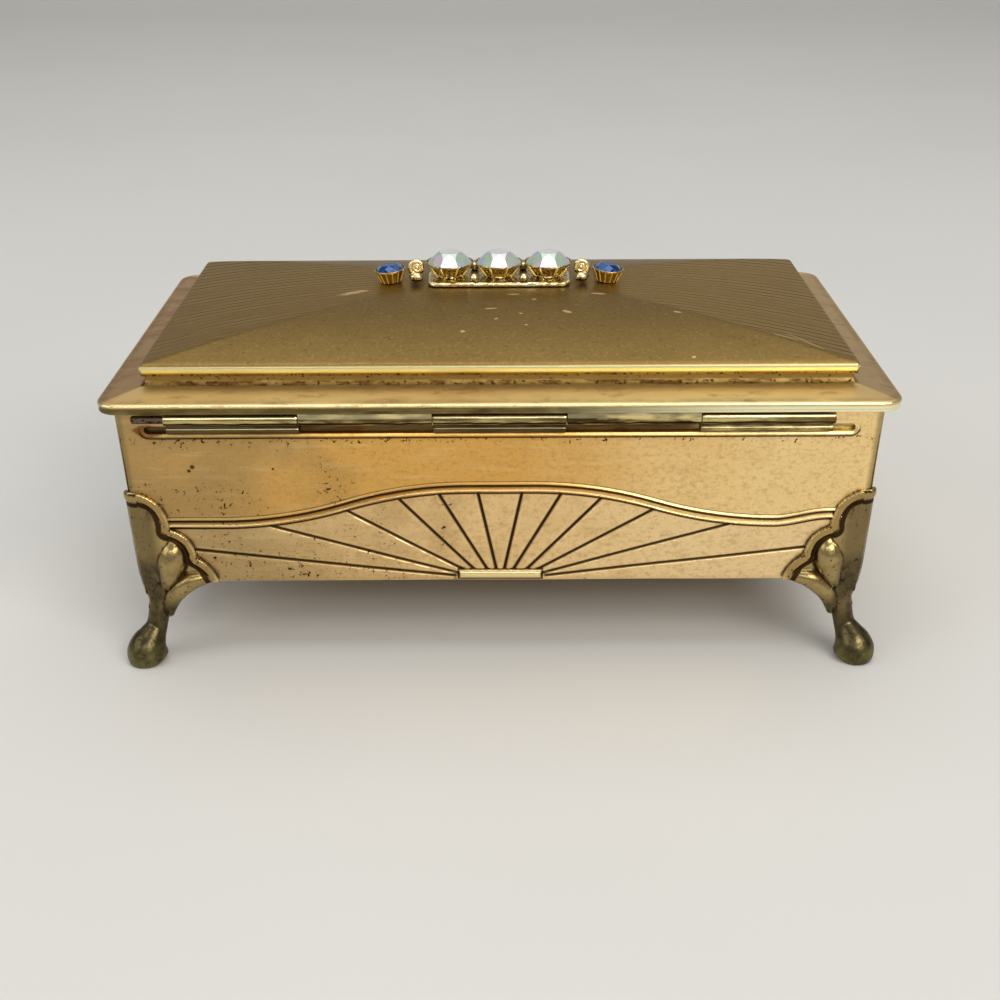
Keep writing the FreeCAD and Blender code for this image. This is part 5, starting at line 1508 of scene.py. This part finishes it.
def prong_ring():
    """Tree of a ring of leaning prongs, joined to the turned cup that it is put on."""
    shape = Shape("prong_ring", prongs=8, foot_radius=2.3, rim_radius=4.0, low=0.1, high=2.4, thickness=0.26,
                  turn=22.5, rise=0.0, along=0.0)
    size = shape.size
    circle = shape.node("GeometryNodeMeshCircle",
                        {"Vertices": size("prongs"), "Radius": size("foot_radius")})
    start = shape.vector(Z=size("low"))
    end = shape.vector(X=size("rim_radius") - size("foot_radius"), Z=size("high"))
    line = shape.node("GeometryNodeCurvePrimitiveLine", {"Start": start, "End": end})
    line = shape.node("GeometryNodeResampleCurve", {"Curve": line, "Count": 7})
    round_wire = shape.node("GeometryNodeCurvePrimitiveCircle",
                            {"Resolution": 10, "Radius": size("thickness")})
    prong = shape.node("GeometryNodeCurveToMesh",
                       {"Curve": line, "Profile Curve": round_wire, "Fill Caps": True})
    # Prongs carry a painted highlight all over.
    prong = shape.marked(prong, "edge", 0.85)
    index = shape.node("GeometryNodeInputIndex")
    spin = shape.vector(Z=index * (2 * math.pi) / size("prongs"))
    ring = shape.node("GeometryNodeInstanceOnPoints",
                      {"Points": circle, "Instance": prong, "Rotation": spin})
    ring = shape.node("GeometryNodeRealizeInstances", {"Geometry": ring})
    tilt = shape.vector(Z=size("turn") * (math.pi / 180))
    ring = shape.node("GeometryNodeTransform", {"Geometry": ring, "Rotation": tilt})
    both = shape.tree.nodes.new("GeometryNodeJoinGeometry")
    shape.tree.links.new(ring.socket, both.inputs[0])
    shape.tree.links.new(size("blank").socket, both.inputs[0])
    return shape, Value(shape, both.outputs[0])


def place_shape(shape, geometry, material):
    """Lifts and shifts a form to its seat and closes its tree."""
    spot = shape.vector(X=shape.size("along"), Z=shape.size("rise"))
    seated = shape.node("GeometryNodeTransform", {"Geometry": geometry, "Translation": spot})
    shape.end(seated, material)


def leaned(points, degrees):
    """Points turned about the Y axis, so that they lean toward X."""
    turn = math.radians(degrees)
    x, y, z = points.T
    return np.stack((x * math.cos(turn) + z * math.sin(turn), y, z * math.cos(turn) - x * math.sin(turn)), 1)


def off_wall(cup, wall, seat, lean=0.0):
    """Height of each point of a cup above its seat, and how far it stands out of the turned wall."""
    x, y, up = leaned(mesh_points(cup.data) / MM - seat, -lean).T
    radii, heights = np.array(wall).T
    return up, np.hypot(x, y) - np.interp(up, heights, radii)


cup_shape, cup_geometry = prong_ring()
place_shape(cup_shape, cup_geometry, ornament_brass)
for side_name, along in CUP_PLACES:
    cup = cup_shape.piece("pronged_cup_" + side_name, blank=lathe(CUP), rise=bar_top, along=along)
    up, proud = off_wall(cup, CUP_WALL, (along, 0, bar_top))
    # Painted shade on the cup wall between the prongs, under the rim.
    under_rim = ramp(up, 2.3, 2.0) * np.maximum(ramp(up, 1.3, 2.1), 0.1)
    set_mark(cup.data, "hollow", ramp(proud, 0.12, 0) * under_rim)
    dress(cup, "lid", "cup_" + side_name)

# Crystals
# Three round foil-backed glass stones with an iridescent coating: a level table, eight star facets, eight
# kites and sixteen small facets down to the girdle, over a plain pavilion that stands in the cup.

# Radii of girdle and table, heights of pavilion foot and girdle, and of the crown above the girdle.
CRYSTAL = {"radius": 3.95, "girdle": 2.4, "crown": 1.95, "table": 1.9, "pavilion": 0.62}
CRYSTAL_SEED = 7
# Where the points of the kites lie between table and girdle: part of the way out, part of the way up.
KITE_OUT = 0.42
KITE_UP = 0.62


def cut_stone(radius, girdle, crown, table, pavilion, seed):
    """Points, facets and a tint from 0 to 1 for each facet, drawn with seed, of a round stone in its cup."""
    def ring(count, r, z, turn=0.0):
        """Points of a circle, the first one turned by so many degrees."""
        return [(r * math.cos(a), r * math.sin(a), z) for a in full_turn(count) + math.radians(turn)]

    kite = KITE_OUT * radius + (1 - KITE_OUT) * table
    points = ring(8, table, girdle + crown) + ring(8, kite, girdle + crown * KITE_UP, 22.5)
    points += ring(16, radius, girdle + 0.04) + ring(16, radius, girdle - 0.22)
    points += ring(8, 0.3 * radius, pavilion) + [(0, 0, pavilion)]
    facets = [tuple(range(8))]
    for i in range(8):
        j = (i + 1) % 8
        before = (i - 1) % 8
        g = 2 * i
        facets.append((i, 8 + i, j))
        facets.append((i, 8 + before, 16 + g, 8 + i))
        facets.append((8 + i, 16 + g, 16 + g + 1))
        facets.append((8 + i, 16 + g + 1, 16 + (g + 2) % 16))
        for k in (g, g + 1):
            facets.append((16 + k, 32 + k, 32 + (k + 1) % 16, 16 + (k + 1) % 16))
        facets.append((32 + g, 48 + i, 32 + g + 1))
        facets.append((32 + g + 1, 48 + i, 48 + j, 32 + (g + 2) % 16))
        facets.append((48 + i, 56, 48 + j))
    tints = 0.9 * np.random.default_rng(seed).random(len(facets))
    tints[0] = 1.0
    return np.array(points), facets, tints


def set_stone(name, stone, material, seat, lean=0.0):
    """Stone as a piece, leaning about the seat's cross axis; each facet keeps its own tint."""
    points, facets, tints = stone
    piece = mesh_piece(name, leaned(points, lean) + seat, facets, material, sharp=1)
    set_mark(piece.data, "facet", tints, "FACE")
    return piece


def crystal_finish():
    """Clear glass over foil under an iridescent film: each facet is painted with its own flash of pale green,
    pink or blue, and the table with a white glint.
    """
    finish = Finish("crystal", (190, 206, 196), 0.05, 0.55)
    facet = finish.mark("facet")
    # Facet tints painted as the film's coloured reflections.
    finish.lay(facet.rise(0.1, 0.3) * facet.rise(0.5, 0.35), (188, 214, 184), 0.05)
    finish.lay(facet.rise(0.35, 0.5) * facet.rise(0.75, 0.6), (226, 204, 218), 0.05)
    finish.lay(facet.rise(0.6, 0.75) * facet.rise(0.95, 0.85), (190, 204, 240), 0.05)
    # Painted white glint on the table.
    finish.lay(facet.rise(0.92, 0.98), (246, 248, 252), 0.03)
    finish.lay(finish.clouds(1.6, 2.0).rise(0.45, 0.75) * 0.3, (236, 226, 190), 0.06)
    return finish.done(Coat_Weight=0.6, Coat_Roughness=0.03, Specular_IOR_Level=0.6,
                       Thin_Film_Thickness=420.0, Thin_Film_IOR=1.45)


crystal_glass = crystal_finish()
for number, (side_name, along) in enumerate(CUP_PLACES):
    crystal = cut_stone(**CRYSTAL, seed=CRYSTAL_SEED + number)
    gem = set_stone("cut_crystal_" + side_name, crystal, crystal_glass, (along, 0, bar_top))
    dress(gem, "lid", "crystal_" + side_name)

# End cups
# Two small turned cups with fluted walls, one beyond each link, leaning outward on the slope of the panel.

END_LEAN = 6.0
END_X = 19.0
END_CUP = ((0, 0.0), (1.75, 0.0), (1.88, 0.12), (1.95, 0.5), (2.2, 1.1), (2.5, 1.7), (2.74, 2.05),
           (2.79, 2.2), (2.72, 2.29), (2.58, 2.29), (2.56, 2.0), (1.6, 1.2), (0.6, 0.5), (0, 0.5))
END_CUP_WALL = END_CUP[1:8]
END_FOOT = 1.9
SIDES = (("left", -1), ("right", 1))
end_seats = {}


def end_cup_finish():
    """Gilt metal, paler than the bar, with painted shade between the flutes and painted highlights on them.
    """
    finish = Finish("end_cup_metal", (218, 194, 134), 0.26)
    finish.lay(finish.clouds(0.8, 4.0).rise(0.48, 0.66) * 0.6, (150, 118, 70), 0.36)
    finish.lay(finish.mark("hollow").rise(0.2, 0.8) * 0.6, (70, 50, 28), 0.5)
    finish.lay(finish.mark("edge").rise(0.4, 0.9) * 0.7, (252, 238, 196), 0.18)
    finish.emboss(finish.clouds(0.3, 3.0), 0.025)
    return finish.done()


end_cup_metal = end_cup_finish()
flute_shape, flute_ring = prong_ring()
flute_shape.tree.interface.new_socket("lean", in_out="INPUT", socket_type="NodeSocketFloat")
flute_shape.sizes["lean"] = 0.0
lean_by = flute_shape.vector(Y=flute_shape.size("lean") * (math.pi / 180))
leaning = flute_shape.node("GeometryNodeTransform", {"Geometry": flute_ring, "Rotation": lean_by})
place_shape(flute_shape, leaning, end_cup_metal)
for side_name, sign in SIDES:
    rise = box_mm("end_cup_" + side_name)[0][2] + END_FOOT * math.sin(math.radians(END_LEAN))
    end_seats[side_name] = (sign * END_X, 0, rise)
    cup = flute_shape.piece("fluted_cup_" + side_name, blank=lathe(END_CUP), prongs=14, foot_radius=1.85,
                            rim_radius=2.62, low=0.15, high=2.05, thickness=0.19, turn=0.0, rise=rise,
                            along=sign * END_X, lean=sign * END_LEAN)
    up, proud = off_wall(cup, END_CUP_WALL, end_seats[side_name], sign * END_LEAN)
    # Painted shade on the cup wall between the flutes.
    set_mark(cup.data, "hollow", ramp(proud, 0.09, 0) * ramp(up, 2.0, 1.7) * ramp(up, 0, 0.3))
    dress(cup, "lid", "end_cup_" + side_name)

# Blue stones
# A small foil-backed stone of sapphire blue glass in each end cup, cut like the crystals with a wider table
# and a lower crown.

BLUE_STONE = {"radius": 2.5, "girdle": 2.1, "crown": 1.0, "table": 1.4, "pavilion": 0.6, "seed": 3}


def blue_finish():
    """Blue glass over foil, dark in most facets, with pale flashes painted on a few."""
    finish = Finish("blue_glass", (24, 66, 122), 0.06, 0.5)
    facet = finish.mark("facet")
    finish.lay(facet.rise(0.1, 0.3) * facet.rise(0.5, 0.35), (14, 40, 84), 0.06)
    finish.lay(facet.rise(0.5, 0.6) * facet.rise(0.8, 0.7), (58, 112, 176), 0.05)
    # Painted glints on a few facets.
    finish.lay(facet.rise(0.8, 0.9) * facet.rise(0.99, 0.96), (150, 190, 236), 0.04)
    finish.lay(finish.clouds(1.0, 2.0).rise(0.5, 0.7) * 0.4, (20, 58, 116), 0.08)
    return finish.done(Coat_Weight=0.4, Coat_Roughness=0.03, Specular_IOR_Level=0.5)


blue_glass = blue_finish()
blue_stone = cut_stone(**BLUE_STONE)
for side_name, sign in SIDES:
    gem = set_stone("cut_blue_stone_" + side_name, blue_stone, blue_glass, end_seats[side_name],
                    sign * END_LEAN)
    dress(gem, "lid", "blue_stone_" + side_name)

# Scroll links
# A cast link at each end of the bar: a small plate with a standing scroll, a bead in its eye and two bosses
# on either side.

LINK_PROFILE = ((0.3, 0.0), (0.0, 0.2), (0.02, 0.5), (0.3, 0.72), (0.8, 0.8))
LINK_CORNER = 0.9
SCROLL_TURNS = 1.6
SCROLL_REACH = 1.32
SCROLL_WIRE = (0.5, 0.34)
EYE_HEIGHT = 1.55
EYE_HALF = (0.42, 0.55, 0.42)
# Bosses: (place outward, to the side and above the bar, half sizes).
BOSSES = (((0.0, 2.5, 0.42), (1.15, 0.82, 0.85)), ((0.6, 1.35, 0.3), (0.75, 0.6, 0.62)))


def scroll_link(node, sign):
    """Plate, scroll, bead and bosses of one link, which points to the side of sign."""
    low, high = box_mm(node)
    middle = (low[0] + high[0]) / 2
    rings = [frame_ring((high - low)[:2] / 2 - inset, LINK_CORNER, low[2] + up) for inset, up in LINK_PROFILE]
    turn = np.linspace(-0.5 * math.pi, (2 * SCROLL_TURNS - 0.5) * math.pi, 60)
    shrink = np.linspace(1.0, 0.3, len(turn))
    eye = np.array((middle, 0, bar_top + EYE_HEIGHT))
    coil = np.stack((sign * np.cos(turn) * shrink, np.zeros(len(turn)), np.sin(turn) * shrink), 1)
    scroll = tube(eye + coil * SCROLL_REACH, np.linspace(*SCROLL_WIRE, len(turn)), 14)
    parts = [stacked(rings), scroll, ball(eye, EYE_HALF)]
    for side in (-1, 1):
        for (out, across, up), half in BOSSES:
            parts.append(ball((middle + sign * out, side * across, bar_top + up), half))
    return joined(parts)


for side_name, sign in SIDES:
    link_points, link_faces = scroll_link("scroll_" + side_name, sign)
    up = link_points[:, 2] - bar_top
    # Painted shade where the link meets the bar, painted highlight rising toward its top.
    link_marks = {"hollow": ramp(np.abs(up - 0.05), 0.3, 0), "edge": ramp(up, 0, 1.25)}
    link = mesh_piece("cast_scroll_" + side_name, link_points, link_faces, ornament_brass, link_marks)
    dress(link, "lid", "scroll_" + side_name)

# Ornament beads
# Four bright balls of brass soldered to the bar, one on either side between each two cups.

BEAD_RADIUS = 0.8
BEAD_PITCH = 7.4
BEAD_LEVEL = 0.613


def bead_row(material):
    """Tree of the four balls, set out two by two."""
    shape = Shape("bead_row", pitch_along=STONE_PITCH, pitch_across=BEAD_PITCH, radius=BEAD_RADIUS,
                  level=bar_top + BEAD_LEVEL)
    size = shape.size
    grid = shape.node("GeometryNodeMeshGrid",
                      {"Size X": size("pitch_along"), "Size Y": size("pitch_across"), "Vertices X": 2,
                       "Vertices Y": 2})
    bead = shape.node("GeometryNodeMeshUVSphere",
                      {"Segments": 28, "Rings": 16, "Radius": size("radius")})
    beads = shape.node("GeometryNodeInstanceOnPoints", {"Points": grid, "Instance": bead})
    lift = shape.vector(Z=size("level"))
    beads = shape.node("GeometryNodeTransform", {"Geometry": beads, "Translation": lift})
    shape.end(beads, material)
    return shape


beads = bead_row(ornament_brass).piece("soldered_beads")
bead_up = mesh_points(beads.data)[:, 2] / MM - bar_top
# Painted shade at the foot of each ball, painted highlight over its upper half.
set_mark(beads.data, "hollow", ramp(bead_up, 0.35, 0))
set_mark(beads.data, "edge", ramp(bead_up, 0.5, 1.1))
dress(beads, "lid", "ornament_beads")

# Studio
# A pale table that curves up into a plain backdrop, soft light from all round and five soft panels,
# and a camera at the height and distance of the photograph.

TABLE_DEPTH = (-2.0, 0.9)
TABLE_HALF_WIDTH = 3.0
BACKDROP_BEND = 0.5
BACKDROP_HEIGHT = 2.4
# Panels of light, all turned to the casket: name, place, size, power, colour.
LIGHT_AIM = (0, 0, 0.03)
PANELS = (("key_panel", (0.55, -0.75, 0.75), (0.7, 0.5), 6.0, (1.0, 0.97, 0.92)),
          ("fill_panel", (-0.8, -0.35, 0.55), (0.8, 0.6), 2.2, (0.95, 0.97, 1.0)),
          ("back_panel", (0.0, 0.35, 1.1), (1.2, 0.8), 3.2, (1.0, 1.0, 1.0)),
          ("top_panel", (0.0, -0.25, 1.1), (0.9, 0.3), 2.2, (1.0, 1.0, 1.0)),
          ("front_panel", (0.0, -0.95, 0.6), (1.0, 0.2), 2.0, (1.0, 0.99, 0.96)))
AIR_COLOUR = (0.78, 0.79, 0.8, 1)
AIR_STRENGTH = 0.42
CAMERA_PLACE = (0.0, -0.2410, 0.1300)
CAMERA_TILT = 25.59
CAMERA_ROLL = -0.26
CAMERA_LENS = 50.54


def sweep_floor():
    """Table and backdrop in one curved sheet."""
    front, back = TABLE_DEPTH
    bend = BACKDROP_BEND
    profile = [(front, 0.0), (back, 0.0)]
    for step in range(1, 13):
        turn = step / 12 * math.pi / 2
        profile.append((back + bend * math.sin(turn), bend - bend * math.cos(turn)))
    profile.append((back + bend, BACKDROP_HEIGHT))
    points = [(x, y, z) for y, z in profile for x in (-TABLE_HALF_WIDTH, TABLE_HALF_WIDTH)]
    faces = [(2 * i, 2 * i + 1, 2 * i + 3, 2 * i + 2) for i in range(len(profile) - 1)]
    finish = Finish("pale_table", (214, 212, 207), 0.6, 0.0)
    finish.lay(finish.clouds(180, 3.0).rise(0.35, 0.75) * 0.35, (205, 204, 200), 0.5)
    floor = mesh_piece("table", np.array(points) / MM, faces, finish.done())


sweep_floor()
for panel_name, place, panel_size, power, colour in PANELS:
    light = bpy.data.lights.new(panel_name, "AREA")
    light.shape = "RECTANGLE"
    light.size, light.size_y = panel_size
    light.energy = power
    light.color = colour
    lamp = linked(panel_name, light)
    lamp.location = place
    lamp.rotation_euler = (Vector(LIGHT_AIM) - Vector(place)).to_track_quat("-Z", "Y").to_euler()

world = bpy.data.worlds.new("studio_air")
world.use_nodes = True
air = world.node_tree.nodes["Background"]
air.inputs["Color"].default_value = AIR_COLOUR
air.inputs["Strength"].default_value = AIR_STRENGTH
bpy.context.scene.world = world
bpy.context.scene.view_settings.view_transform = "Standard"

lens = bpy.data.cameras.new("camera")
lens.lens = CAMERA_LENS
lens.sensor_width = 36.0
lens.clip_start = 0.01
camera = linked("camera", lens)
tilt = Euler((math.radians(90 - CAMERA_TILT), 0, 0)).to_matrix()
roll = Matrix.Rotation(math.radians(CAMERA_ROLL), 3, "Z")
camera.matrix_world = Matrix.Translation(CAMERA_PLACE) @ (tilt @ roll).to_4x4()
bpy.context.scene.camera = camera
